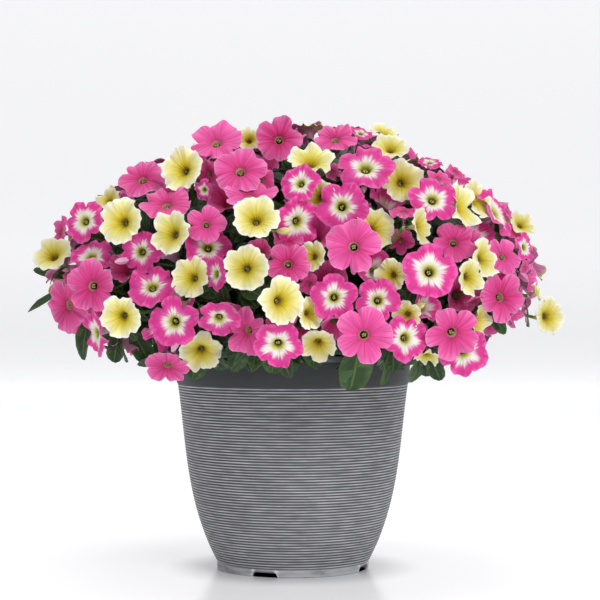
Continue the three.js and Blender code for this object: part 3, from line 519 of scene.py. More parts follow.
def span_gaps(some, others):
    """The least gaps between two lists of straight lengths of stalk."""
    a, b = some[:, None], others[None]
    d1, d2 = a[..., 3:6] - a[..., :3], b[..., 3:6] - b[..., :3]
    r = a[..., :3] - b[..., :3]
    aa, ee, ff = dot(d1, d1), dot(d2, d2), dot(d2, r)
    cc, bb = dot(d1, r), dot(d1, d2)
    denominator = aa * ee - bb * bb
    skew = denominator > 1e-9
    s = np.where(skew, np.clip((bb * ff - cc * ee) / np.where(skew, denominator, 1), 0, 1), 0)
    t = np.clip((bb * s + ff) / ee, 0, 1)
    s = np.clip((bb * t - cc) / aa, 0, 1)
    here = a[..., :3] + d1 * s[..., None]
    there = b[..., :3] + d2 * t[..., None]
    return np.linalg.norm(here - there, axis=-1) - a[..., 6] - b[..., 6]


def tube_span(bloom):
    """The narrow tube behind a bloom, down to the point where its stalk starts."""
    bloom.base = bloom.centre - bloom.normal * TUBE_LENGTH * bloom.radius
    top = bloom.centre - bloom.normal * TUBE_TOP * bloom.radius
    return span(top, bloom.base, TUBE_CLEARANCE)


def stem_spans(stem, fork):
    neck = vec(stem.root[0] * NECK_SPREAD, stem.root[1] * NECK_SPREAD, MIX_TOP + NECK_HEIGHT)
    stalks = [span(bloom.base, fork, STALK_RADIUS) for bloom in stem.blooms]
    return neck, np.array([span(stem.root, neck, STEM_RADIUS), span(neck, fork, STEM_RADIUS), *stalks])


def fork_places(core, reach, side, up):
    for part in FORK_PARTS:
        for shift in FORK_SHIFTS:
            for lift in FORK_LIFTS:
                fork = core + reach * part + side * shift + up * lift
                fork[2] = max(fork[2], FORK_CORE - 2)
                yield fork


def grow_stems(stems):
    """Tries places for the fork until every length of the stem is clear of the stems grown before it."""
    tubes = [[tube_span(bloom) for bloom in stem.blooms] for stem in stems]
    grown = np.empty((0, 7))
    core = vec(0, 0, FORK_CORE)
    for k, stem in enumerate(stems):
        others = [tube for n, own in enumerate(tubes) if n != k for tube in own]
        near = np.vstack((grown, others))
        reach = sum(bloom.base * (1 / len(stem.blooms)) for bloom in stem.blooms) - core
        side = unit(vec(-reach[1], reach[0], 0))
        up = -unit(np.cross(side, reach))
        best = None
        for fork in fork_places(core, reach, side, up):
            neck, spans = stem_spans(stem, fork)
            clear = min(FAR_APART, span_gaps(spans, near).min())
            if best is None or clear > best:
                best = clear
                stem.fork, stem.neck, stem.spans = fork, neck, spans
            if best >= STALK_GAP:
                break
        grown = np.vstack((grown, stem.spans))


def nearest_stalk(stems, place):
    """The point of the plant's stalks that is nearest to a place, outside the rim of the pot."""
    best = None
    parts = np.arange(0.05, 1, 0.1)[:, None]
    for stem in stems:
        for row in stem.spans[1:]:
            points = row[:3] + (row[3:6] - row[:3]) * parts
            apart = np.linalg.norm(points - place, axis=1)
            outside = (np.hypot(points[:, 0], points[:, 1]) > RIM_CLEARANCE) | (points[:, 2] > LOW_STALKS)
            apart[~(outside & (apart > LEAST_LEAF_STALK))] = np.inf
            k = int(np.argmin(apart))
            if apart[k] < np.inf and (best is None or apart[k] < best[0]):
                best = (apart[k], stem, points[k])
    return best[1], best[2]


def lay_out():
    """Every place on the plants."""
    front = front_blooms()
    blooms = front + rear_blooms(front)
    draw = random_source(SEED + 1)
    for bloom in blooms:
        u = level_side(bloom.normal)
        roll = next(draw) * 2 * math.pi
        bloom.u = u * math.cos(roll) + np.cross(bloom.normal, u) * math.sin(roll)
        bloom.v = np.cross(bloom.normal, bloom.u)
        plain = bloom.rear or bloom.radius < PLAIN_RADIUS
        bloom.lobe = PLAIN_LOBE if plain else VARIETIES[bloom.variety].lobe
        bloom.wave = [(next(draw) - 0.5) * WAVE_SIZE for _ in range(WAVES)]
        bloom.looks = VARIETIES[bloom.variety]
    stems = gather_stems(blooms)
    plant_roots(stems)
    grow_stems(stems)
    counts = dict.fromkeys(VARIETIES, 0)
    for stem in stems:
        counts[stem.variety] += 1
        stem.name = f"{stem.variety}_stem_{counts[stem.variety]:02d}"
        rise = unit(stem.fork - stem.neck)
        ahead = [unit(bloom.base - stem.fork) @ rise for bloom in stem.blooms]
        stem.leader = stem.blooms[int(np.argmax(ahead))]
        stem.leaves = []
        stem.buds = []
        stem.young = []
    for seen in EDGE_LEAVES:
        tip = on_skirt(seen.px, seen.py)
        stem, root = nearest_stalk(stems, tip)
        width = seen.width * LEAF_FULLNESS
        stem.leaves.append(SimpleNamespace(root=root, tip=tip, width=width, out=outward_at(tip)))
    for seen in BUDS:
        tip = nearer(on_mound(seen.px, seen.py), BUD_LIFT)
        stem, root = nearest_stalk(stems, tip)
        stem.buds.append(SimpleNamespace(root=root, tip=tip))
    return blooms, stems


# Meshes

# Which finish of its piece a face has, on the blooms of a stem and on its foliage
PETAL, STIGMA, POLLEN = range(3)
LEAF, STALK, BUD = range(3)


class Body:
    """The points, faces and marks of one piece, gathered from its parts."""

    def __init__(self):
        self.points, self.faces, self.marks, self.rays, self.finishes = [], [], [], [], []
        self.count = 0

    def loft(self, rings, finish, marks=0.0, rays=0.0):
        """Closed skin over rings of points, from the first ring to the last, with its two ends capped."""
        rows, around = rings.shape[:2]
        points = np.vstack((rings.reshape(-1, 3), rings[0].mean(0), rings[-1].mean(0)))
        first, last = rows * around, rows * around + 1
        k = np.arange(around)
        after = (k + 1) % around
        here = (np.arange(rows - 1)[:, None] * around + k).ravel()
        beside = (np.arange(rows - 1)[:, None] * around + after).ravel()
        faces = np.vstack((
            np.column_stack((here, here + around, beside + around)),
            np.column_stack((here, beside + around, beside)),
            np.column_stack((np.full(around, first), k, after)),
            np.column_stack((np.full(around, last), (rows - 1) * around + after, (rows - 1) * around + k)),
        ))

        def with_ends(values):
            flat = np.broadcast_to(values, rings.shape).reshape(-1, 3)
            return np.vstack((flat, flat[:1], flat[-1:]))

        self.points.append(points)
        self.faces.append(faces + self.count)
        self.marks.append(with_ends(marks))
        self.rays.append(with_ends(rays))
        self.finishes.append(np.full(len(faces), finish, np.int32))
        self.count += len(points)


def make_piece(name, body, finishes, nodes, crease=50):
    """One object of the scene, standing for solids of the frame, in the row frame in metres."""
    mesh = bpy.data.meshes.new(name)
    points = (np.vstack(body.points) + POT_PLACE) * MM
    faces = np.vstack(body.faces)
    mesh.vertices.add(len(points))
    mesh.vertices.foreach_set("co", points.ravel())
    mesh.loops.add(faces.size)
    mesh.loops.foreach_set("vertex_index", faces.ravel().astype(np.int32))
    mesh.polygons.add(len(faces))
    mesh.polygons.foreach_set("loop_start", np.arange(0, faces.size, 3, dtype=np.int32))
    mesh.polygons.foreach_set("material_index", np.concatenate(body.finishes))
    for label, values in (("mark", body.marks), ("ray", body.rays)):
        layer = mesh.attributes.new(label, "FLOAT_VECTOR", "POINT")
        layer.data.foreach_set("vector", np.vstack(values).astype(np.float32).ravel())
    for finish in finishes:
        mesh.materials.append(finish)
    mesh.update(calc_edges=True)
    mesh.shade_smooth()
    mesh.set_sharp_from_angle(angle=math.radians(crease))
    made = bpy.data.objects.new(name, mesh)
    bpy.context.scene.collection.objects.link(made)
    if nodes:
        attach(made, "root")
        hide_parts(*nodes)
    return made


# Blooms

def lobe_angles():
    """Bearings round a bloom in degrees, closer together at the notches between its five lobes."""
    t = np.linspace(-1, 1, POINTS_ON_A_LOBE, endpoint=False)
    lobe = 36 * t * (1.25 - 0.25 * t * t)
    return np.concatenate([72 * k + lobe for k in range(5)])


ANGLES = lobe_angles()
OFF_MIDDLE = (ANGLES + 36) % 72 - 36
LOBE = np.arange(len(ANGLES)) // POINTS_ON_A_LOBE


def rim_waves(bloom):
    """Heights round the rim, as shares of the radius: through those of the solid, eased between them."""
    per_lobe = len(bloom.lobe)
    turns = [72 * k + angle for k in range(5) for angle in bloom.lobe]
    heights = [-RIM_DROP if k % per_lobe == per_lobe - 1 else bloom.wave[k] for k in range(5 * per_lobe)]
    turns = np.array([turns[-1] - 360, *turns, turns[0] + 360])
    heights = np.array([heights[-1], *heights, heights[0]])
    bearings = (ANGLES + 36) % 360 - 36
    after = np.searchsorted(turns, bearings, side="right")
    part = (bearings - turns[after - 1]) / (turns[after] - turns[after - 1])
    ease = (1 - np.cos(math.pi * part)) / 2
    return heights[after - 1] * (1 - ease) + heights[after] * ease


def bloom_face(bloom, chance):
    """The inner face of a bloom as rings of points, from the foot of its tube to its ruffled rim."""
    looks = bloom.looks
    rho, depth = np.array(looks.profile).T
    turn = np.radians(ANGLES)
    off = OFF_MIDDLE / 36
    freedom = np.clip((rho - 0.3) / 0.7, 0, 1)[:, None]
    notches = looks.notch * (0.3 + 1.4 * chance.random(5))
    notch = np.where(off > 0, notches[LOBE], notches[LOBE - 1])
    points = looks.point * (1.8 * chance.random(5) - 0.5)[LOBE]
    outline = 1 - notch * np.abs(off) ** 3.2 + points * np.exp(-(off / 0.26) ** 2)
    for count in OUTLINE_WAVES:
        outline = outline + OUTLINE_SWAY * chance.random() * np.sin(count * turn + chance.random() * 6.3)
    frill = looks.frill * np.sin(looks.frills * turn + 2.2 * np.sin(2 * turn + chance.random() * 6.3))
    ruffle = np.zeros_like(turn)
    for count in RUFFLE_WAVES:
        size = looks.ruffle * 9 / count * (0.3 + chance.random())
        ruffle += size * np.sin(count * turn + chance.random() * 6.3)
    curls = ((chance.random(5) - 0.6) * MOST_CURL)[LOBE]
    curl = curls * np.cos(off * math.pi / 2) ** 2
    radii = rho[:, None] * (1 + (outline - 1 + frill) * freedom ** 1.4)
    groove = -GROOVE_DEPTH * np.exp(-(off / 0.13) ** 2) * np.sin(math.pi * np.clip(freedom, 0, 0.9) / 0.9)
    seam = -SEAM_DEPTH * np.exp(-((1 - np.abs(off)) / 0.15) ** 2) * freedom
    lift = (looks.cup + rim_waves(bloom)) * freedom ** 1.6
    heights = depth[:, None] + lift + ruffle * freedom ** 2 + curl * freedom ** 2.2 + groove + seam
    across = radii * np.cos(turn)
    up = radii * np.sin(turn)
    place = across[..., None] * bloom.u + up[..., None] * bloom.v + heights[..., None] * bloom.normal
    return bloom.centre + bloom.radius * place, rho


def skin_normals(rings):
    """Unit normals of a grid of points that closes on itself round the axis."""
    along = np.gradient(rings, axis=0)
    around = np.roll(rings, -1, axis=1) - np.roll(rings, 1, axis=1)
    normal = np.cross(along, around)
    return normal / np.linalg.norm(normal, axis=2, keepdims=True)


def add_bloom(body, bloom, chance, every=1):
    """A petunia's corolla: five joined petals on a narrow tube, as a thin closed skin."""
    inner, rho = bloom_face(bloom, chance)
    inner = inner[:, ::every]
    outer = (inner - skin_normals(inner) * PETAL_THICKNESS)[::-2]
    turn = np.radians(ANGLES[::every])
    rho = np.broadcast_to(rho[:, None], inner.shape[:2])
    lobe = np.broadcast_to(np.abs(OFF_MIDDLE[::every]) / 36, rho.shape)
    face = np.stack((rho, lobe, np.full(rho.shape, chance.random())), axis=-1)
    marks = np.concatenate((face, face[::-2]))
    circle = np.stack((np.cos(turn), np.sin(turn)), axis=-1)
    circle = np.broadcast_to(circle, (len(marks), *circle.shape))
    side = np.repeat((0.0, 1.0), (len(inner), len(outer)))[:, None, None]
    rays = np.concatenate((circle, np.broadcast_to(side, (*circle.shape[:2], 1))), axis=-1)
    body.loft(np.concatenate((inner, outer)), PETAL, marks, rays)


def add_ball(body, centre, axis, length, width, finish, tint):
    """A small rounded lump, longer along its axis."""
    side = side_of(axis)
    circle = circle_of(side, np.cross(axis, side), 6)
    rings = np.array([centre + axis * length * level + circle * width * math.sqrt(1 - level * level)
                      for level in (0.85, 0.3, -0.3, -0.85)])
    body.loft(rings, finish, tint)


def tube_rings(path, radii, sides):
    """Rings of points square to a path, from its last point to its first."""
    path = np.asarray(path, float)
    steps = np.gradient(path, axis=0)
    steps /= np.linalg.norm(steps, axis=1, keepdims=True)
    side = side_of(steps[0])
    rings = []
    for point, step, radius in zip(path, steps, radii):
        side = unit(side - step * (side @ step))
        rings.append(point + circle_of(side, np.cross(step, side), sides) * radius)
    return np.array(rings)[::-1]


def add_tube(body, path, radii, finish, tint, sides=6):
    body.loft(tube_rings(path, radii, sides), finish, tint)


def add_heart(body, bloom, chance):
    """The stigma and the five anthers down in the throat, on their filaments."""
    size = bloom.radius
    foot = bloom.centre - bloom.normal * 0.9 * size
    sunk = 0.26 if bloom.variety == "yellow" else 0.0
    for k in range(6):
        turn = k * 2 * math.pi / 5 + chance.random()
        away = 0.0 if k == 5 else 0.045 + 0.02 * chance.random()
        deep = sunk + (0.17 if k == 5 else 0.19 + 0.08 * chance.random())
        side = bloom.u * math.cos(turn) + bloom.v * math.sin(turn)
        tip = bloom.centre + (side * away - bloom.normal * deep) * size
        wide = (0.034 if k == 5 else 0.028) * size
        add_ball(body, tip, bloom.normal, wide, wide * 1.15, STIGMA if k == 5 else POLLEN, 0.5)
        add_tube(body, [foot + side * 0.02 * size, tip], [0.3, 0.25], STIGMA, 0.5, sides=3)


# Greenery

# Forms of a leaf: steps from root to tip and the width at each, points across it, and 1 for those on its back
BLADE = SimpleNamespace(
    steps=np.array((0.0, 0.1, 0.24, 0.42, 0.6, 0.77, 0.9, 0.98)),
    widths=np.array((0.06, 0.12, 0.46, 0.84, 1.0, 0.97, 0.7, 0.24)),
    across=np.array((-1.0, -0.5, 0.0, 0.5, 1.0, 0.0)),
    back=np.array((0.5, 0.0, 0.0, 0.0, 0.5, 1.0)))
PLAIN_BLADE = SimpleNamespace(
    steps=np.array((0.0, 0.16, 0.46, 0.78, 0.98)), widths=np.array((0.08, 0.3, 0.95, 0.9, 0.24)),
    across=np.array((-1.0, 0.0, 1.0, 0.0)), back=np.array((0.5, 0.0, 0.5, 1.0)))


def leaf_rings(leaf, arch, fold, twist, form=BLADE):
    """A leaf as flat closed rings across it: arched along its rib, folded up a little and waved."""
    along = leaf.tip - leaf.root
    length = math.sqrt(along @ along)
    along = along / length
    side = unit(np.cross(along, leaf.out))
    face = np.cross(side, along)
    t = form.steps[:, None]
    widths = form.widths[:, None]
    across = form.across * widths * leaf.width / 2
    wave = 0.07 * leaf.width * np.sin(t * 11 + twist * 9 + np.sign(form.across)) * form.across ** 2
    height = arch * length * 4 * t * (1 - t) + fold * np.abs(across) + wave * (widths > 0.2)
    height = height + (0.25 - form.back) * LEAF_THICKNESS
    tilt = twist * 0.5 * t * across
    place = (t * length)[..., None] * along + across[..., None] * side + (height + tilt)[..., None] * face
    return leaf.root + place


def add_leaf(body, leaf, arch, fold, twist, tint, form=BLADE):
    rings = leaf_rings(leaf, arch, fold, twist, form)
    along = np.broadcast_to(form.steps[:, None], rings.shape[:2])
    across = np.broadcast_to(form.across, rings.shape[:2])
    marks = np.stack((along, across, np.full(along.shape, tint)), axis=-1)
    back = np.broadcast_to(form.back, rings.shape[:2])
    rays = np.stack((np.zeros_like(along), np.zeros_like(along), back), axis=-1)
    body.loft(rings[::-1], LEAF, marks[::-1], rays[::-1])


def add_calyx(body, bloom, chance):
    """Five narrow sepals that hug the tube and turn out at their tips."""
    size = bloom.radius
    tint = chance.random()
    for k in range(5):
        turn = (k + 0.5) * 2 * math.pi / 5 + 0.2 * chance.random()
        side = bloom.u * math.cos(turn) + bloom.v * math.sin(turn)
        root = bloom.centre - bloom.normal * size * 1.07 + side * 0.04 * size
        tip = bloom.centre - bloom.normal * size * (0.56 + 0.12 * chance.random()) + side * 0.26 * size
        sepal = SimpleNamespace(root=root, tip=tip, width=0.11 * size, out=side)
        add_leaf(body, sepal, -0.08, 0.3, 0.0, tint, PLAIN_BLADE)


def stalk_path(points, radii):
    """A path through a stem's points with its corners eased, and the radius along it."""
    points = np.array(points)
    corners = range(len(points))
    steps = np.linspace(0, len(points) - 1, 4 * (len(points) - 1) + 1)
    eased = np.column_stack([np.interp(steps, corners, points[:, axis]) for axis in range(3)])
    for _ in range(2):
        eased[1:-1] = (eased[:-2] + 2 * eased[1:-1] + eased[2:]) / 4
    return eased, np.interp(steps, corners, radii)


def add_stalks(body, stem, chance):
    for bloom in stem.blooms:
        if bloom is stem.leader:
            points = [bloom.base, stem.fork, stem.neck, stem.root]
            radii = [TUBE_RADIUS, FORK_RADIUS * 0.7, STEM_RADIUS, STEM_RADIUS]
        else:
            points = [bloom.base, stem.fork]
            radii = [TUBE_RADIUS * 0.9, STALK_RADIUS]
        path, widths = stalk_path(points, radii)
        add_tube(body, path, widths, STALK, chance.random())


def add_bud(body, bud, chance):
    """A closed, pleated bud on its stalk, held by its sepals."""
    root, tip = bud.root, bud.tip
    axis = unit(tip - root)
    length = math.dist(root, tip)
    neck = root + axis * max(0.3 * length, length - 24)
    add_tube(body, [root, (root + neck) / 2 + vec(0, 0, 1), neck], [0.9, 0.9, 1.3], STALK, chance.random())
    steps = np.linspace(0, 1, 7)
    path = neck + (tip - neck) * steps[:, None]
    radii = 3.1 * np.sin(math.pi * (0.1 + 0.86 * steps) ** 1.5) + 0.35
    rings = tube_rings(path, radii, 10)
    pleat = 1 + 0.16 * np.cos(np.arange(10) * math.pi)
    rings = path[::-1][:, None] + (rings - path[::-1][:, None]) * pleat[None, :, None]
    marks = np.empty(rings.shape)
    marks[..., 0] = 1 - steps[::-1][:, None] * 0.75
    marks[..., 1] = (np.arange(10) % 2) * 1.0
    marks[..., 2] = chance.random()
    body.loft(rings, BUD, marks, 1.0)
    side = side_of(axis)
    for k in range(5):
        turn = k * 2 * math.pi / 5
        out = side * math.cos(turn) + np.cross(axis, side) * math.sin(turn)
        sepal = SimpleNamespace(root=neck - axis, tip=neck + axis * 9 + out * 3.4, width=2.6, out=out)
        add_leaf(body, sepal, -0.05, 0.3, 0.0, chance.random(), PLAIN_BLADE)


def wall_radius(z):
    part = (z - FOOT_BAND_TOP) / (BAND_BOTTOM - FOOT_BAND_TOP)
    return WALL_FOOT_RADIUS + WALL_SPREAD * part - WALL_ROUNDING * part ** 2 + WALL_EASING * part ** 3


# How far behind its face a bloom's body reaches, by the share of its radius away from its axis
BODY_RHO = (0.0, 0.1, 0.14, 0.2, 0.3, 1.05)
BODY_DEPTH = (-1.08, -1.02, -0.62, -0.4, -0.26, -0.1)
BODY_MARGIN = 1.2

# What a bloom hides: a share of its radius about its axis, from this far in front of it to this far behind
HIDDEN_SHARE, HIDDEN_FRONT, HIDDEN_BACK = 0.85, 6, -70
WALL_MARGIN, RIM_MARGIN = 5, 4
FACE_SHARE, FACE_MARGIN = 1.03, 24


class Room:
    """What a leaf has to stay clear of: the blooms, the pot and the outside of the mound."""

    def __init__(self, blooms):
        self.centres = np.array([bloom.centre for bloom in blooms])
        self.normals = np.array([bloom.normal for bloom in blooms])
        self.radii = np.array([bloom.radius for bloom in blooms])

    def is_behind(self, point):
        """Whether a bloom hides a point that lies deeper in the mound."""
        step = point - self.centres
        height = dot(step, self.normals)
        away = np.linalg.norm(step - height[:, None] * self.normals, axis=1)
        beside = away < HIDDEN_SHARE * self.radii
        return bool((beside & (height < HIDDEN_FRONT) & (height > HIDDEN_BACK)).any())

    def crosses_bloom(self, points, before=FACE_MARGIN):
        step = points[:, None] - self.centres
        height = dot(step, self.normals)
        rho = np.linalg.norm(step - height[..., None] * self.normals, axis=2) / self.radii
        behind = np.interp(rho, BODY_RHO, BODY_DEPTH) * self.radii - BODY_MARGIN
        return bool(((rho < FACE_SHARE) & (height > behind) & (height < before)).any())

    def is_clear(self, points, reach):
        x, y, z = points.T
        fall = np.where(z > MOUND_Z, MOUND_UP, MOUND_DOWN)
        out = ((x - MOUND_X) / MOUND_ACROSS) ** 2 + (y / MOUND_DEEP) ** 2 + ((z - MOUND_Z) / fall) ** 2
        away = np.hypot(x, y)
        low = z < RIM_TOP + RIM_MARGIN
        in_wall = low & (away < wall_radius(np.minimum(z, BAND_BOTTOM)) + WALL_MARGIN)
        outside = (out > reach).any() or not in_outline(points)
        return not (outside or in_wall.any() or self.crosses_bloom(points))

    def takes(self, leaf, shape, reach):
        """Whether a leaf fits, by its two edges and its rib."""
        rings = leaf_rings(leaf, *shape)
        return self.is_clear(rings[1:, :5:2].reshape(-1, 3), reach)


def slide_clear(leaf, room):
    """Moves a leaf's tip back along its sight line, so its pixel stays, until no bloom is pierced."""
    tip = leaf.tip
    for depth in TIP_SLIDES:
        leaf.tip = nearer(tip, -depth)
        rings = leaf_rings(leaf, *EDGE_LEAF_SHAPE, 0.0)
        if not room.crosses_bloom(rings[1:, :5].reshape(-1, 3), 0.5):
            return
    leaf.tip = tip


def young_blooms(stems, room, chance):
    """Half-open blooms of the pink varieties, where a gap between the open ones has room."""
    growing = [stem for stem in stems if stem.variety != "yellow"]
    made = []
    for k in range(YOUNG_SPOTS):
        skin = skin_point(1 - YOUNG_REACH * (k + 0.5) / YOUNG_SPOTS, k * GOLDEN_ANGLE)
        out = outward_at(skin)
        centre = skin - out * (YOUNG_LEAST_DEPTH + (YOUNG_MOST_DEPTH - YOUNG_LEAST_DEPTH) * chance.random())
        normal = unit(out * 1.6 + chance.random(3) - 0.5)
        hidden = room.is_behind(centre)
        near = any(math.dist(other.centre, centre) < YOUNG_SPACING for other in made)
        if hidden or near:
            continue
        u = level_side(normal)
        for radius in YOUNG_RADII:
            rim = centre + circle_round(normal, radius)
            throat = centre - normal * radius * 0.5 + circle_round(normal, 0.45 * radius)
            tube = centre - np.outer((0.8, 1.2, 1.5), normal) * radius
            if room.is_clear(np.vstack((rim, throat, tube)), YOUNG_LIMIT):
                young = SimpleNamespace(
                    centre=centre, normal=normal, radius=radius, u=u, v=np.cross(normal, u), lobe=PLAIN_LOBE,
                    wave=WAVE_SIZE * (chance.random(WAVES) - 0.5), looks=YOUNG,
                    base=centre - normal * radius * 1.5)
                stem, young.root = nearest_stalk(growing, young.base)
                stem.young.append(young)
                made.append(young)
                break
    return made


def spare_leaves(stem, room, chance):
    """Leaves drawn at random along the stalks, kept where they fit between the blooms."""
    wanted = SPARE_LEAVES_A_BLOOM * len(stem.blooms) + SPARE_LEAVES_A_STEM
    kept = []
    for draw in range(wanted * SPARE_TRIES_A_LEAF):
        if len(kept) == wanted:
            break
        bloom = stem.blooms[draw % len(stem.blooms)]
        deep = chance.random()
        root = bloom.base + (stem.fork - bloom.base) * (0.03 + 0.75 * deep * deep)
        out = outward_at(bloom.centre)
        aside = chance.random(3) - 0.5
        aside = unit(aside - out * (aside @ out))
        length = 24 + 20 * chance.random()
        along = unit(out * (0.35 + 0.4 * chance.random()) + aside)
        width = length * (0.4 + 0.14 * chance.random())
        leaf = SimpleNamespace(root=root, tip=root + along * length, width=width, out=out)
        shape = (0.02 + 0.08 * chance.random(), 0.1 + 0.25 * chance.random(), chance.random() - 0.5)
        if room.takes(leaf, shape, SPARE_REACH):
            kept.append((leaf, shape))
    return kept


def daylight_leaves(stems):
    """Leaves across the last gaps that one sees through from the front."""
    for px, py in DAYLIGHT_SPOTS:
        spot = nearer(on_mound(px, py), -DAYLIGHT_DEPTH)
        stem, root = nearest_stalk(stems, spot)
        leaf = SimpleNamespace(root=root, tip=spot + unit(spot - root) * 14, width=22, out=vec(0, -1, 0))
        stem.spare.append((leaf, (0.04, 0.15, 0.1)))


def inner_leaves(stem, room, chance):
    """Leaves deep in the mound, so that no daylight shows between the stalks."""
    kept = []
    for draw in range(INNER_TRIES):
        if len(kept) == INNER_LEAVES:
            break
        bloom = stem.blooms[draw % len(stem.blooms)]
        start, end = ((stem.neck, stem.fork), (stem.fork, bloom.base))[draw % 2]
        root = start + (end - start) * (0.1 + 0.8 * chance.random())
        out = unit(chance.normal(0, 1, 3) + vec(0, 0, 1))
        aside = unit(np.cross(out, chance.normal(0, 1, 3)))
        length = 30 + 18 * chance.random()
        leaf = SimpleNamespace(root=root, tip=root + aside * length, width=length * 0.52, out=out)
        shape = (0.08, 0.2, chance.random() - 0.5)
        rings = leaf_rings(leaf, *shape, PLAIN_BLADE)
        if room.is_clear(rings[1:].reshape(-1, 3), INNER_REACH):
            kept.append((leaf, shape))
    return kept


def rim_leaves(stems, room, chance):
    """Leaves that lie over the rim of the pot and hang down a little in front of it."""
    stalks = [(stem, row[:3] + (row[3:6] - row[:3]) * part) for stem in stems for row in stem.spans[1:]
              for part in np.arange(0.04, 1, 0.08)]
    places = np.array([place for _, place in stalks])
    shortest, longest = RIM_LEAF_LENGTHS
    tips = []
    for k in range(RIM_TRIES):
        bearing = k * GOLDEN_ANGLE
        away = wall_radius(BAND_BOTTOM) + 9 + 15 * chance.random()
        tip = vec(away * math.cos(bearing), away * math.sin(bearing), RIM_TOP - 17 + 22 * chance.random())
        shape = (0.1 + 0.1 * chance.random(), 0.12 + 0.2 * chance.random(), chance.random() - 0.5)
        if any(math.dist(tip, other) < RIM_SPACING for other in tips):
            continue
        apart = np.linalg.norm(places - tip, axis=1)
        for index in np.argsort(apart):
            length = apart[index]
            if length > longest:
                break
            if length < shortest:
                continue
            stem, root = stalks[index]
            leaf = SimpleNamespace(root=root, tip=tip, width=length * RIM_LEAF_WIDTH, out=outward_at(tip))
            if room.takes(leaf, shape, RIM_REACH):
                stem.spare.append((leaf, shape))
                tips.append(tip)
                break


def skirt_leaves(stems, room, chance):
    """Leaves that hang round the lower edge of the mound, on its sides and back."""
    nearest_y, widest_x = CLEAR_FACE
    for k in range(SKIRT_TRIES):
        tip = skin_point(-0.42 - 0.4 * chance.random(), k * GOLDEN_ANGLE)
        if tip[1] < nearest_y and abs(tip[0]) < widest_x:
            continue
        stem, root = nearest_stalk(stems, tip)
        length = 34 + 14 * chance.random()
        if math.dist(root, tip) > SKIRT_STALK:
            root = tip + unit(root - tip) * length
        leaf = SimpleNamespace(root=root, tip=tip, width=15 + 6 * chance.random(), out=outward_at(tip))
        shape = (0.06, 0.2, chance.random() - 0.5)
        if room.takes(leaf, shape, SKIRT_REACH):
            stem.spare.append((leaf, shape))


# Materials

def linear(value):
    """An sRGB hex value such as "#F0509F" as linear red, green, blue and alpha."""
    parts = [int(value[k:k + 2], 16) / 255 for k in (1, 3, 5)]
    return tuple(c / 12.92 if c <= 0.04045 else ((c + 0.055) / 1.055) ** 2.4 for c in parts) + (1.0,)


def add_node(tree, kind, inputs=None, stops=None, **settings):
    """Adds a shader node. An input is a value, a socket, or a node whose first output is linked."""
    made = tree.nodes.new(f"ShaderNode{kind}")
    for name, value in settings.items():
        setattr(made, name, value)
    for name, value in (inputs or {}).items():
        source = value.outputs[0] if isinstance(value, bpy.types.Node) else value
        if isinstance(source, bpy.types.NodeSocket):
            tree.links.new(source, made.inputs[name])
        else:
            made.inputs[name].default_value = source
    if stops:
        ramp = made.color_ramp
        while len(ramp.elements) < len(stops):
            ramp.elements.new(0.5)
        for element, (place, colour) in zip(ramp.elements, stops):
            element.position = place
            element.color = linear(colour)
    return made


# Settings that many nodes share
EASED = {"interpolation_type": "SMOOTHSTEP"}
IN_COLOUR = {"data_type": "RGBA"}


def start_material(name):
    """A new material, and the call that adds a node to it."""
    made = bpy.data.materials.new(name)
    made.use_nodes = True
    made.node_tree.nodes.clear()
    return made, functools.partial(add_node, made.node_tree)


def finish_material(add, inputs, bump=None):
    """The surface shader, with its bump from a height in mm."""
    if bump:
        height, distance = bump
        relief = add("Bump", {"Height": height, "Distance": distance * MM, "Strength": 1.0})
        inputs = {**inputs, "Normal": relief}
    add("OutputMaterial", {"Surface": add("BsdfPrincipled", inputs)})


def marks_of(add, label):
    """The three numbers that each point of a piece carries under a label."""
    stored = add("Attribute", attribute_name=label)
    return add("SeparateXYZ", {0: stored.outputs["Vector"]}).outputs


def shaded_by(add, colour, shade):
    """A colour made lighter or darker all over by a number about 1."""
    grey = add("CombineColor", {0: shade, 1: shade, 2: shade})
    return add("Mix", {0: 1.0, 6: colour, 7: grey}, blend_type="MULTIPLY", **IN_COLOUR).outputs[2]


def petal_marks(add):
    """What a petal's finish reads: share of the radius, way off the middle of the lobe, tint and side."""
    rho, lobe, tint = marks_of(add, "mark")
    x, y, side = marks_of(add, "ray")

    def streaks(per_turn, out, detail):
        """Noise drawn out along the petal: so many streaks round the bloom, changing slowly outwards."""
        scale = per_turn / 6.28
        shift = add("Math", {0: tint, 1: 61.0}, operation="MULTIPLY")
        place = add("CombineXYZ", {
            0: add("Math", {0: x, 1: scale, 2: shift}, operation="MULTIPLY_ADD"),
            1: add("Math", {0: y, 1: scale}, operation="MULTIPLY"),
            2: add("Math", {0: rho, 1: out}, operation="MULTIPLY"),
        })
        return add("TexNoise", {"Vector": place, "Scale": 1.0, "Detail": detail})

    def mid_vein(width, end, start):
        """A line along the middle of each lobe, which fades out between two shares of the radius."""
        line = add("MapRange", {"Value": lobe, "From Min": width, "From Max": 0.0}, **EASED)
        fade = add("MapRange", {"Value": rho, "From Min": end, "From Max": start}, **EASED)
        return add("Math", {0: line, 1: fade}, operation="MULTIPLY")

    return SimpleNamespace(rho=rho, lobe=lobe, tint=tint, side=side, streaks=streaks, mid_vein=mid_vein)


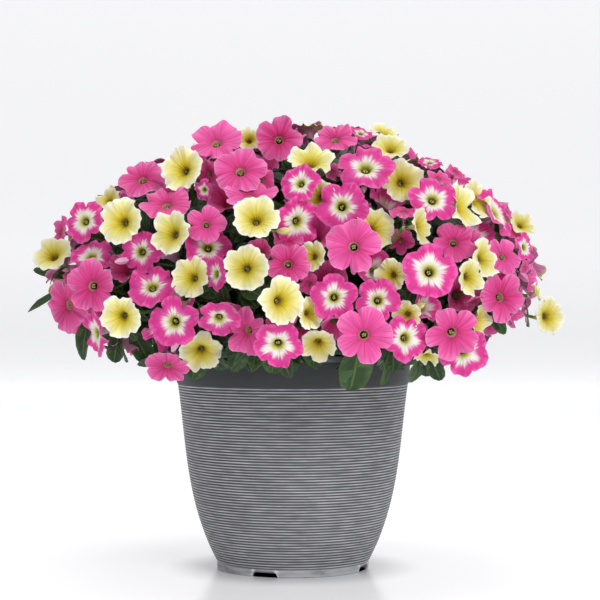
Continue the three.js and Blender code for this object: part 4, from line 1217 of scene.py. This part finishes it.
def finish_petal(add, marks, colour, back_colour):
    """Living petal tissue: velvety cells that light passes through a little, in soft radial pleats, with
    painted shade and highlight along the pleats and lobes.
    """
    behind = add("Math", {0: marks.side, 1: 0.85}, operation="MULTIPLY")
    two_faced = add("Mix", {0: behind, 6: colour, 7: linear(back_colour)}, **IN_COLOUR)
    pleat_relief_and_painted_shade = marks.streaks(34, 0.8, 4.0)
    lobe_tone_and_painted_shade = marks.streaks(7, 1.6, 1.0)
    # A multiplier on the colour: partly a random tone for each bloom and lobe, partly painted shade and
    # highlight that follow the pleats and lobes.
    shade = add("Math", {0: marks.tint, 1: 0.16, 2: 0.58}, operation="MULTIPLY_ADD")
    shade = add("Math", {0: lobe_tone_and_painted_shade, 1: 0.36, 2: shade}, operation="MULTIPLY_ADD")
    shade = add("Math", {0: pleat_relief_and_painted_shade, 1: 0.32, 2: shade}, operation="MULTIPLY_ADD")
    finish_material(add, {
        "Base Color": shaded_by(add, two_faced.outputs[2], shade), "Roughness": 0.62,
        "Specular IOR Level": 0.3, "Sheen Weight": 0.08, "Sheen Roughness": 0.5, "Subsurface Weight": 0.15,
        "Subsurface Radius": (1.0, 0.55, 0.5), "Subsurface Scale": 0.001,
    }, bump=(pleat_relief_and_painted_shade, 2.2))


def pink_petal():
    """Hot pink petal with a darker heart and veins, and a thin cream ring round the small dark throat, whose
    darkness is partly its own colour and partly painted shade.
    """
    made, add = start_material("hot_pink_petunia_petal")
    marks = petal_marks(add)
    streak = add("Math", {0: marks.streaks(40, 0.8, 4.0), 1: 0.9, 2: -0.45}, operation="MULTIPLY_ADD")
    shifted = add("Math", {0: marks.rho, 1: streak}, operation="ADD")
    face = add("ValToRGB", {0: shifted}, stops=(
        (0.15, "#C0185E"), (0.34, "#D62A76"), (0.55, "#E24090"), (0.78, "#E9599F"), (1.0, "#F080BC")))
    fine = marks.streaks(130, 0.5, 1.0)
    lines = add("MapRange", {"Value": fine, "From Min": 0.46, "From Max": 0.34}, **EASED)
    lines = add("Math", {0: lines, 1: 0.6}, operation="MULTIPLY")
    veins = add("Math", {0: lines, 1: marks.mid_vein(0.09, 0.85, 0.3)}, operation="MAXIMUM")
    veins = add("Math", {0: veins, 1: 0.65}, operation="MULTIPLY")
    cast = add("Math", {0: marks.tint, 1: 0.4}, operation="MULTIPLY")
    lilac = add("Mix", {0: cast, 6: face, 7: linear("#E864B0")}, **IN_COLOUR)
    veined = add("Mix", {0: veins, 6: lilac.outputs[2], 7: linear("#B01258")}, **IN_COLOUR)
    # A thin paler band along the very edge of each petal: a painted highlight.
    rim = add("MapRange", {"Value": marks.rho, "From Min": 0.95, "From Max": 1.0}, **EASED)
    rim = add("Math", {0: rim, 1: 0.4}, operation="MULTIPLY")
    edged = add("Mix", {0: rim, 6: veined.outputs[2], 7: linear("#F9A9D4")}, **IN_COLOUR)
    # The throat's colours: the darkest, deep in the narrow tube, are partly the flower's own dark throat and
    # partly painted shade of the tube.
    throat = add("ValToRGB", {0: marks.rho}, stops=(
        (0.09, "#4A2A1A"), (0.12, "#8C6A4A"), (0.145, "#C8AE86"), (0.17, "#DA9A94"), (0.2, "#C8487C")))
    opened = add("MapRange", {"Value": marks.rho, "From Min": 0.16, "From Max": 0.21}, **EASED)
    colour = add("Mix", {0: opened, 6: throat, 7: edged.outputs[2]}, **IN_COLOUR)
    finish_petal(add, marks, colour.outputs[2], "#EE9CCB")
    return made


def star_petal():
    """Deep pink petal with a feathered white star, an olive throat and fine green mid-veins."""
    made, add = start_material("star_petunia_petal")
    marks = petal_marks(add)
    feather = add("Math", {0: marks.streaks(34, 0.7, 4.0), 1: 0.7, 2: -0.35}, operation="MULTIPLY_ADD")
    grown = add("Math", {0: marks.tint, 1: 0.14, 2: 0.35}, operation="MULTIPLY_ADD")
    ray = add("Math", {0: 1.0, 1: marks.lobe}, operation="SUBTRACT", use_clamp=True)
    ray = add("Math", {0: ray, 1: 1.3}, operation="POWER")
    edge = add("Math", {0: ray, 1: 0.16, 2: grown}, operation="MULTIPLY_ADD")
    edge = add("Math", {0: edge, 1: feather}, operation="ADD")
    past = add("Math", {0: marks.rho, 1: edge}, operation="SUBTRACT")
    past = add("MapRange", {"Value": past, "From Min": -0.13, "From Max": 0.13}, **EASED)
    feathered = add("Math", {0: marks.rho, 1: feather}, operation="ADD")
    outer = add("ValToRGB", {0: feathered}, stops=(
        (0.35, "#E46AB0"), (0.6, "#DE3F98"), (0.82, "#DC308E"), (1.0, "#E860AC")))
    inner = add("ValToRGB", {0: marks.rho}, stops=(
        (0.10, "#4A3E08"), (0.13, "#857A14"), (0.17, "#B4AC38"), (0.22, "#CECA70"), (0.29, "#E4E0B8"),
        (0.38, "#F1E9E2")))
    starred = add("Mix", {0: past, 6: inner, 7: outer}, **IN_COLOUR)
    vein = add("Math", {0: marks.mid_vein(0.07, 0.7, 0.3), 1: 0.6}, operation="MULTIPLY")
    colour = add("Mix", {0: vein, 6: starred.outputs[2], 7: linear("#87945A")}, **IN_COLOUR)
    finish_petal(add, marks, colour.outputs[2], "#EDB4D6")
    return made


def yellow_petal():
    """Pale yellow petal, nearly white at its crimped edge, deep olive gold down its throat."""
    made, add = start_material("pale_yellow_petunia_petal")
    marks = petal_marks(add)
    streak = add("Math", {0: marks.streaks(40, 0.7, 3.0), 1: 0.34, 2: -0.17}, operation="MULTIPLY_ADD")
    shifted = add("Math", {0: marks.rho, 1: streak}, operation="ADD")
    face = add("ValToRGB", {0: shifted}, stops=(
        (0.10, "#7A6208"), (0.17, "#AE960E"), (0.25, "#D0B81C"), (0.34, "#DCC93A"), (0.48, "#E3D568"),
        (0.66, "#EBE296"), (0.86, "#F2ECB8")))
    rim = add("MapRange", {"Value": marks.rho, "From Min": 0.78, "From Max": 1.0}, **EASED)
    edged = add("Mix", {0: rim, 6: face, 7: linear("#FCF9EA")}, **IN_COLOUR)
    opened = add("MapRange", {"Value": marks.rho, "From Min": 0.14, "From Max": 0.2}, **EASED)
    vein = add("Math", {0: marks.mid_vein(0.09, 0.82, 0.3), 1: opened}, operation="MULTIPLY")
    vein = add("Math", {0: vein, 1: 0.6}, operation="MULTIPLY")
    colour = add("Mix", {0: vein, 6: edged.outputs[2], 7: linear("#857A1C")}, **IN_COLOUR)
    finish_petal(add, marks, colour.outputs[2], "#E9DFA0")
    return made


def noise_over(add, scale, detail):
    """Noise that is fixed to the piece, so many grains to the metre."""
    place = add("TexCoord")
    return add("TexNoise", {"Vector": place.outputs["Object"], "Scale": scale, "Detail": detail})


def plain_tissue(name, colour, other, roughness, mottle_mm):
    """Green or pollen-covered tissue: soft and dull, mottled between two colours."""
    made, add = start_material(name)
    mottle = noise_over(add, 1000 / mottle_mm, 3.0)
    share = add("MapRange", {"Value": mottle, "From Min": 0.35, "From Max": 0.65}, **EASED)
    mixed = add("Mix", {0: share, 6: linear(colour), 7: linear(other)}, **IN_COLOUR)
    finish_material(add, {
        "Base Color": mixed.outputs[2], "Roughness": roughness, "Specular IOR Level": 0.35,
        "Subsurface Weight": 0.1, "Subsurface Radius": (0.6, 1.0, 0.3), "Subsurface Scale": 0.001,
    }, bump=(mottle, 0.2))
    return made


def leaf_blade():
    """Petunia leaf: soft short-haired blade with a pale rib, sunken side veins and a paler back."""
    made, add = start_material("soft_haired_petunia_leaf")
    along, across, tint = marks_of(add, "mark")
    side = marks_of(add, "ray")[2]
    off_rib = add("Math", {0: across}, operation="ABSOLUTE")
    slant = add("Math", {0: off_rib, 1: -1.6}, operation="MULTIPLY")
    rank = add("Math", {0: along, 1: 7.0, 2: slant}, operation="MULTIPLY_ADD")
    wave = add("Math", {0: rank}, operation="FRACT")
    wave = add("Math", {0: wave, 1: 0.5}, operation="SUBTRACT")
    wave = add("Math", {0: wave}, operation="ABSOLUTE")
    vein = add("MapRange", {"Value": wave, "From Min": 0.12, "From Max": 0.02}, **EASED)
    rib = add("MapRange", {"Value": off_rib, "From Min": 0.12, "From Max": 0.03}, **EASED)
    mottle = add("Math", {0: noise_over(add, 130.0, 3.0), 1: 0.6}, operation="MULTIPLY")
    shade = add("Math", {0: tint, 1: 0.5, 2: mottle}, operation="MULTIPLY_ADD")
    colour = add("ValToRGB", {0: shade}, stops=(
        (0.2, "#10220A"), (0.5, "#1A360F"), (0.75, "#274B16"), (0.95, "#3E6A22"))).outputs[0]
    for mask, strength, drawn in ((vein, 0.22, "#4C7830"), (rib, 0.4, "#6E9448"), (side, 0.6, "#5C7C42")):
        share = add("Math", {0: mask, 1: strength}, operation="MULTIPLY")
        colour = add("Mix", {0: share, 6: colour, 7: linear(drawn)}, **IN_COLOUR).outputs[2]
    sunk = add("Math", {0: vein, 1: rib}, operation="MAXIMUM")
    sunk = add("Math", {0: sunk, 1: -1.0}, operation="MULTIPLY")
    finish_material(add, {
        "Base Color": colour, "Roughness": 0.5, "Specular IOR Level": 0.4, "Sheen Weight": 0.1,
        "Sheen Roughness": 0.4, "Subsurface Weight": 0.12, "Subsurface Radius": (0.5, 1.0, 0.2),
        "Subsurface Scale": 0.001,
    }, bump=(sunk, 0.4))
    return made


def pot_plastic():
    """Moulded polypropylene, dull grey: fine ribs whose crests are pale, unevenly round the pot, partly
    rubbed wear and partly a painted highlight, with painted shade in the grooves.
    """
    made, add = start_material("grey_polypropylene_rubbed_and_painted_rib_light")
    crest, unribbed_tone_and_painted_shade, foot = marks_of(add, "mark")
    place = add("TexCoord").outputs["Object"]
    drawn = add("Mapping", {"Vector": place, "Scale": (48, 48, 235)})
    rub = add("TexNoise", {"Vector": drawn, "Scale": 1.0, "Detail": 5.0})
    patch = noise_over(add, 14.0, 2.0)
    # Pale rib crests and dark grooves: partly rubbed wear, partly a painted highlight on each crest and
    # painted shade in the grooves.
    line = add("Math", {0: crest, 1: 2.0}, operation="POWER")
    wear_and_highlight_strength = add("Math", {0: rub, 1: 1.2, 2: 0.35}, operation="MULTIPLY_ADD")
    crest_wear_and_highlight = add("Math", {0: line, 1: wear_and_highlight_strength}, operation="MULTIPLY", use_clamp=True)
    grey = add("ValToRGB", {0: crest_wear_and_highlight}, stops=(
        (0.0, "#4C4D51"), (0.35, "#6C6D71"), (0.7, "#A2A3A6"), (1.0, "#D2D3D5")))
    scuffs = add("MapRange", {"Value": rub, "From Min": 0.0, "From Max": 0.6}, **EASED)
    scuffs = add("Math", {0: foot, 1: scuffs}, operation="MULTIPLY", use_clamp=True)
    edges = add("MapRange", {"Value": foot, "From Min": 1.1, "From Max": 1.9}, **EASED)
    colour = grey.outputs[0]
    # The unribbed parts, the band under the rim most of all, take a dark grey: partly the plastic's colour,
    # partly painted shadow of the foliage over the band.
    for mask, finish in ((unribbed_tone_and_painted_shade, "#3B3D40"), (scuffs, "#C0C1C4"), (edges, "#E6E6E6")):
        colour = add("Mix", {0: mask, 6: colour, 7: linear(finish)}, **IN_COLOUR).outputs[2]
    clouds = add("Math", {0: patch, 1: 0.14, 2: 0.91}, operation="MULTIPLY_ADD")
    rough = add("Math", {0: rub, 1: 0.2, 2: 0.45}, operation="MULTIPLY_ADD")
    finish_material(add, {
        "Base Color": shaded_by(add, colour, clouds), "Roughness": rough, "Specular IOR Level": 0.4,
    }, bump=(rub, 0.1))
    return made


def peat():
    """Potting mix: damp peat and bark crumbs, dark and dull."""
    made, add = start_material("damp_peat_and_bark")
    place = add("TexCoord").outputs["Object"]
    crumb = add("TexVoronoi", {"Vector": place, "Scale": 330.0})
    grain = noise_over(add, 160.0, 5.0)
    shade = add("Math", {0: crumb.outputs["Distance"], 1: 0.5, 2: grain}, operation="MULTIPLY_ADD")
    brown = add("ValToRGB", {0: shade}, stops=(
        (0.3, "#1A110B"), (0.55, "#2E2016"), (0.8, "#4A3726"), (0.95, "#6B5640")))
    finish_material(add, {
        "Base Color": brown, "Roughness": 0.95, "Specular IOR Level": 0.2,
    }, bump=(shade, 1.2))
    return made


# The pot

def pot_profile():
    """Half of the pot cut through its axis: radius and height in mm, and marks of crest, band and foot; the
    band mark darkens the unribbed parts, partly as painted shadow of the foliage.
    """
    foot, inner = FOOT_RADIUS, FOOT_RADIUS - FOOT_RING_WIDTH
    rows = [(0.5, FOOT_RING_HEIGHT, 0, 1, 0), (inner - 2, FOOT_RING_HEIGHT, 0, 1, 0),
            (inner, FOOT_RING_HEIGHT - 0.6, 0, 1, 0), (inner + 0.2, 0.8, 0, 1, 0),
            (inner + 0.9, 0, 0, 1, 0.2), (foot - 0.9, 0, 0, 1, 0.6), (foot, 0.8, 0, 1, 1),
            (foot + 0.3, 4, 0, 1, 0.8), (foot + 0.1, FOOT_BAND_TOP - 0.6, 0, 1, 0.9),
            (foot - 0.2, FOOT_BAND_TOP + 0.4, 0, 1, 0.6)]
    pitch = (BAND_BOTTOM - FOOT_BAND_TOP - 1) / RIB_COUNT
    for k in range(RIB_COUNT):
        for part, rise in RIB_SECTION:
            z = FOOT_BAND_TOP + 1 + (k + part) * pitch
            rows.append((wall_radius(z) + (rise - 0.6) * RIB_DEPTH, z, rise, 0, 0))
    top = wall_radius(BAND_BOTTOM) + BAND_STEP
    band = top + BAND_FLARE
    lip = band + RIM_LIP
    rows += [(top - 0.3, BAND_BOTTOM + 0.1, 0, 0.5, 0), (top, BAND_BOTTOM + 0.8, 0.3, 1, 0),
             (top + BAND_FLARE / 2, 217, 0, 1, 0), (band, RIM_BOTTOM, 0, 1, 0),
             (lip - 0.5, RIM_BOTTOM + 0.6, 0, 1, 0), (lip, RIM_BOTTOM + 1.4, 0, 1, 0.3),
             (lip, RIM_TOP - 0.9, 0, 1, 0.3), (lip - 0.9, RIM_TOP, 0, 1, 0.6),
             (band - POT_WALL + 0.8, RIM_TOP, 0, 1, 0.3), (band - POT_WALL, RIM_TOP - 0.8, 0, 1, 0)]
    for z in INNER_LEVELS:
        rows.append((wall_radius(z) - POT_WALL, z, 0, 1, 0))
    floor = FOOT_RING_HEIGHT + POT_WALL
    rows += [(wall_radius(floor) - POT_WALL, floor, 0, 1, 0), (0.5, floor, 0, 1, 0)]
    return np.array(rows, float)


def turned(radii, heights, turn):
    """Rings about the pot's axis, from a radius for each ring and bearing, and a height for each ring."""
    heights = np.broadcast_to(heights, radii.shape)
    return np.stack((radii * np.cos(turn), radii * np.sin(turn), heights), axis=-1)


def make_pot(finish):
    rows = pot_profile()[::-1]
    turn = np.arange(POT_SIDES) * 2 * math.pi / POT_SIDES
    waver = 1 + 0.0008 * np.sin(3 * turn + 1) + 0.0006 * np.sin(7 * turn)
    body = Body()
    body.loft(turned(rows[:, :1] * waver, rows[:, 1:2], turn), 0, rows[:, None, 2:])
    pot = make_piece("ribbed_pot", body, [finish], ["pot"], crease=75)
    cuts = Body()
    for bearing in np.radians(NOTCH_BEARINGS):
        out = vec(math.cos(bearing), math.sin(bearing), 0)
        side = vec(-out[1], out[0], 0)
        wide = NOTCH_WIDTH / 2
        half = [(wide + NOTCH_SPLAY, -2), (wide + NOTCH_SPLAY * 0.2, 0.6), (wide - 1.2, NOTCH_HEIGHT - 1),
                (wide - 3.2, NOTCH_HEIGHT)]
        profile = [(-half[0][0], -2), *half, *[(-x, z) for x, z in half[:0:-1]]]
        rings = np.array([[out * away + side * x + vec(0, 0, z) for x, z in profile]
                          for away in (FOOT_RADIUS + 9, FOOT_RADIUS - 9)])
        cuts.loft(rings, 0)
        drain = [out * DRAIN_CIRCLE + vec(0, 0, z) for z in (-6, 24)]
        rings = tube_rings(drain, [DRAIN_RADIUS, DRAIN_RADIUS], 28)
        cuts.loft(rings, 0)
    tool = make_piece("pot_cuts", cuts, [finish], [])
    cut = pot.modifiers.new("cuts", "BOOLEAN")
    cut.operation = "DIFFERENCE"
    cut.object = tool
    cut.solver = "MANIFOLD"
    bpy.context.view_layer.update()
    shaped = bpy.data.meshes.new_from_object(pot.evaluated_get(bpy.context.evaluated_depsgraph_get()))
    pot.modifiers.clear()
    pot.data = shaped
    for point, mark in zip(shaped.vertices, shaped.attributes["mark"].data):
        x, y, z = point.co[0] / MM - POT_PLACE[0], point.co[1] / MM - POT_PLACE[1], point.co[2] / MM
        if z < FOOT_BAND_TOP and math.hypot(x, y) > FOOT_RADIUS - 2:
            turn = math.degrees(math.atan2(y, x))
            off = min(abs((turn - bearing + 180) % 360 - 180) for bearing in NOTCH_BEARINGS)
            off_edge = abs(math.radians(off) * FOOT_RADIUS - NOTCH_WIDTH / 2)
            if off_edge < NOTCH_WEAR:
                mark.vector[2] += 2 * (1 - off_edge / NOTCH_WEAR)
    shaped.set_sharp_from_angle(angle=math.radians(SHARP_CUT))
    bpy.data.objects.remove(tool)
    return pot


def make_mix(finish, chance):
    """The potting mix: a crumbly top inside the pot, down to its floor."""
    turn = np.arange(MIX_SIDES) * 2 * math.pi / MIX_SIDES
    edge = wall_radius(BAND_BOTTOM) - POT_WALL - MIX_GAP
    rows = [(0.5, MIX_TOP + MIX_CROWN)]
    for part in np.linspace(0.06, 0.985, MIX_RINGS):
        rows.append((edge * part, MIX_TOP + MIX_CROWN * (1 - part * part)))
    rows += [(edge, MIX_TOP - 1.5)]
    for z in (*INNER_LEVELS, FOOT_RING_HEIGHT + POT_WALL + MIX_GAP):
        rows.append((wall_radius(z) - POT_WALL - MIX_GAP, z))
    rows.append((0.5, rows[-1][1]))
    radii, heights = np.array(rows).T[..., None]
    rings = turned(radii * np.ones_like(turn), heights, turn)
    rings[1:MIX_RINGS + 1, :, 2] += chance.normal(0, MIX_ROUGHNESS, (MIX_RINGS, MIX_SIDES))
    body = Body()
    body.loft(rings, 0)
    for _ in range(CRUMBS):
        away = edge * 0.95 * math.sqrt(chance.random())
        bearing = chance.random() * 2 * math.pi
        height = MIX_TOP + MIX_CROWN * (1 - (away / edge) ** 2)
        place = vec(away * math.cos(bearing), away * math.sin(bearing), height)
        axis = unit(chance.random(3) - 0.5)
        length = 2 + 4 * chance.random()
        width = 1 + 2 * chance.random()
        add_ball(body, place, axis, length, width, 0, chance.random())
    return make_piece("peat_mix", body, [finish], ["potting_mix"])


# The plants

def make_plants():
    blooms, stems = lay_out()
    room = Room(blooms)
    petals = {"pink": pink_petal(), "star": star_petal(), "yellow": yellow_petal()}
    stigma = plain_tissue("olive_green_stigma", "#8C9444", "#6E7A2E", 0.5, 1.5)
    pollen = plain_tissue("dull_cream_pollen_anther", "#DCD2A2", "#B8A868", 0.85, 0.6)
    blade = leaf_blade()
    stalk = plain_tissue("hairy_green_stalk", "#4E7A2C", "#6E9440", 0.55, 3)
    leaf_chance = np.random.default_rng(LEAF_SEED)
    young_chance = np.random.default_rng(YOUNG_SEED)
    for stem in stems:
        for leaf in stem.leaves:
            slide_clear(leaf, room)
    young = young_blooms(stems, room, young_chance)
    room = Room(blooms + young)
    for stem in stems:
        stem.spare = spare_leaves(stem, room, leaf_chance)
    skirt_leaves(stems, room, leaf_chance)
    rim_leaves(stems, room, leaf_chance)
    daylight_leaves(stems)
    chance = np.random.default_rng(PETAL_SEED)
    deep_chance = np.random.default_rng(DEEP_SEED)
    for stem in stems:
        stem.inner = inner_leaves(stem, room, deep_chance)
    for stem in stems:
        heads = Body()
        green = Body()
        for bloom in stem.blooms:
            add_bloom(heads, bloom, chance)
            add_heart(heads, bloom, chance)
            add_calyx(green, bloom, chance)
        for bloom in stem.young:
            add_bloom(heads, bloom, young_chance, 2)
            add_tube(green, [bloom.base, bloom.root], [1.5, 1.2], STALK, young_chance.random(), sides=5)
        add_stalks(green, stem, chance)
        for leaf in stem.leaves:
            add_leaf(green, leaf, *EDGE_LEAF_SHAPE, chance.random() - 0.5, 0.3 + 0.5 * chance.random())
        for leaf, shape in stem.spare:
            add_leaf(green, leaf, *shape, chance.random())
        for leaf, shape in stem.inner:
            add_leaf(green, leaf, *shape, deep_chance.random(), PLAIN_BLADE)
        for bud in stem.buds:
            add_bud(green, bud, chance)
        make_piece(f"{stem.name}_blooms", heads, [petals[stem.variety], stigma, pollen], [stem.name])
        make_piece(f"{stem.name}_foliage", green, [blade, stalk, petals[stem.variety]], [stem.name])


# The studio

def make_stage():
    """A pale, faintly glossy paper floor that curves up into a backdrop: sizes in metres. It glows as painted
    light, a little more up the backdrop, and not near the pot's foot, which leaves a painted shadow round it.
    """
    half_width, front, back, bend, top = 8.0, -7.0, 6.0, 2.0, 7.0
    curve = [(front, 0.0), (back - bend, 0.0)]
    for k in range(1, 13):
        angle = k * math.pi / 24
        curve.append((back - bend + bend * math.sin(angle), bend - bend * math.cos(angle)))
    curve.append((back, top))
    points = [(x, y, z) for y, z in curve for x in (-half_width, half_width)]
    faces = [(2 * k, 2 * k + 1, 2 * k + 3, 2 * k + 2) for k in range(len(curve) - 1)]
    mesh = bpy.data.meshes.new("studio_paper")
    mesh.from_pydata(points, [], faces)
    mesh.shade_smooth()
    paper, add = start_material("satin_white_paper_with_painted_glow")
    place = add("TexCoord").outputs["Object"]
    height = add("SeparateXYZ", {0: place}).outputs[2]
    away = add("VectorMath", {0: place}, operation="LENGTH").outputs["Value"]
    # Painted light: the paper glows, more up the backdrop than on the floor, and fades out near the pot's
    # foot as a painted contact shadow.
    rise = add("MapRange", {"Value": height, "From Min": 0.0, "From Max": 0.6}, **EASED)
    painted_paper_glow = add("Math", {0: rise, 1: 0.16, 2: 0.31}, operation="MULTIPLY_ADD")
    outside_painted_pot_shadow = add("MapRange", {"Value": away, "From Min": 0.08, "From Max": 0.15}, **EASED)
    painted_paper_glow = add("Math", {0: painted_paper_glow, 1: outside_painted_pot_shadow}, operation="MULTIPLY")
    finish_material(add, {
        "Base Color": linear("#F4F4F6"), "Roughness": 0.22, "Specular IOR Level": 0.5,
        "Emission Color": linear("#F8F8F8"), "Emission Strength": painted_paper_glow,
    })
    place_stage("studio_paper", mesh, paper, 0)


def make_shade():
    """The darkness under the pot, which shows through the notches of its foot."""
    turn = np.arange(96) * 2 * math.pi / 96
    reach = (FOOT_RADIUS - 1.5) * MM
    mesh = bpy.data.meshes.new("shade_under_pot")
    mesh.from_pydata([(reach * math.cos(t), reach * math.sin(t), 0) for t in turn], [], [range(96)])
    black, add = start_material("unlit_ground")
    finish_material(add, {"Base Color": linear("#050505"), "Roughness": 1.0, "Specular IOR Level": 0.0})
    place_stage("shade_under_pot", mesh, black, SHADE_LIFT)


def place_stage(name, mesh, finish, height):
    mesh.materials.append(finish)
    made = bpy.data.objects.new(name, mesh)
    made.location = POT_PLACE * MM + (0, 0, height)
    bpy.context.scene.collection.objects.link(made)


def add_lamp(name, place, aim, size, power):
    lamp = bpy.data.lights.new(name, "AREA")
    lamp.shape = "RECTANGLE"
    lamp.size, lamp.size_y = size
    lamp.energy = power
    made = bpy.data.objects.new(name, lamp)
    made.location = place
    direction = np.array(aim) - np.array(place)
    made.rotation_euler = (math.atan2(math.hypot(direction[0], direction[1]), -direction[2]), 0,
                           math.atan2(direction[1], direction[0]) - math.pi / 2)
    bpy.context.scene.collection.objects.link(made)


def light_studio():
    world = bpy.data.worlds.new("studio_air")
    world.use_nodes = True
    world.node_tree.nodes["Background"].inputs["Color"].default_value = linear("#F6F7FA")
    world.node_tree.nodes["Background"].inputs["Strength"].default_value = 0.42
    bpy.context.scene.world = world
    middle = (0.0, 0.0, 0.28)
    add_lamp("key_box", (1.05, -1.85, 1.4), middle, (1.0, 1.0), 22.5)
    add_lamp("fill_box", (-1.0, -1.6, 0.9), middle, (1.2, 1.2), 3.5)
    add_lamp("top_box", (0.0, 0.2, 2.1), middle, (1.4, 1.4), 14)


def place_camera():
    scene = bpy.context.scene
    lens = bpy.data.cameras.new("reference_view")
    lens.sensor_width = 36
    lens.lens = 36 * VIEW_FOCAL / VIEW_SIZE
    lens.clip_end = 50
    camera = bpy.data.objects.new("reference_view", lens)
    place = (vec(VIEW_X, -VIEW_DISTANCE, VIEW_Z) + POT_PLACE) * MM
    camera.location = place
    camera.rotation_euler = (math.pi / 2, 0, 0)
    scene.collection.objects.link(camera)
    scene.camera = camera
    scene.view_settings.view_transform = "Standard"


place_camera()
make_pot(pot_plastic())
make_mix(peat(), np.random.default_rng(MIX_SEED))
make_plants()
make_stage()
make_shade()
light_studio()
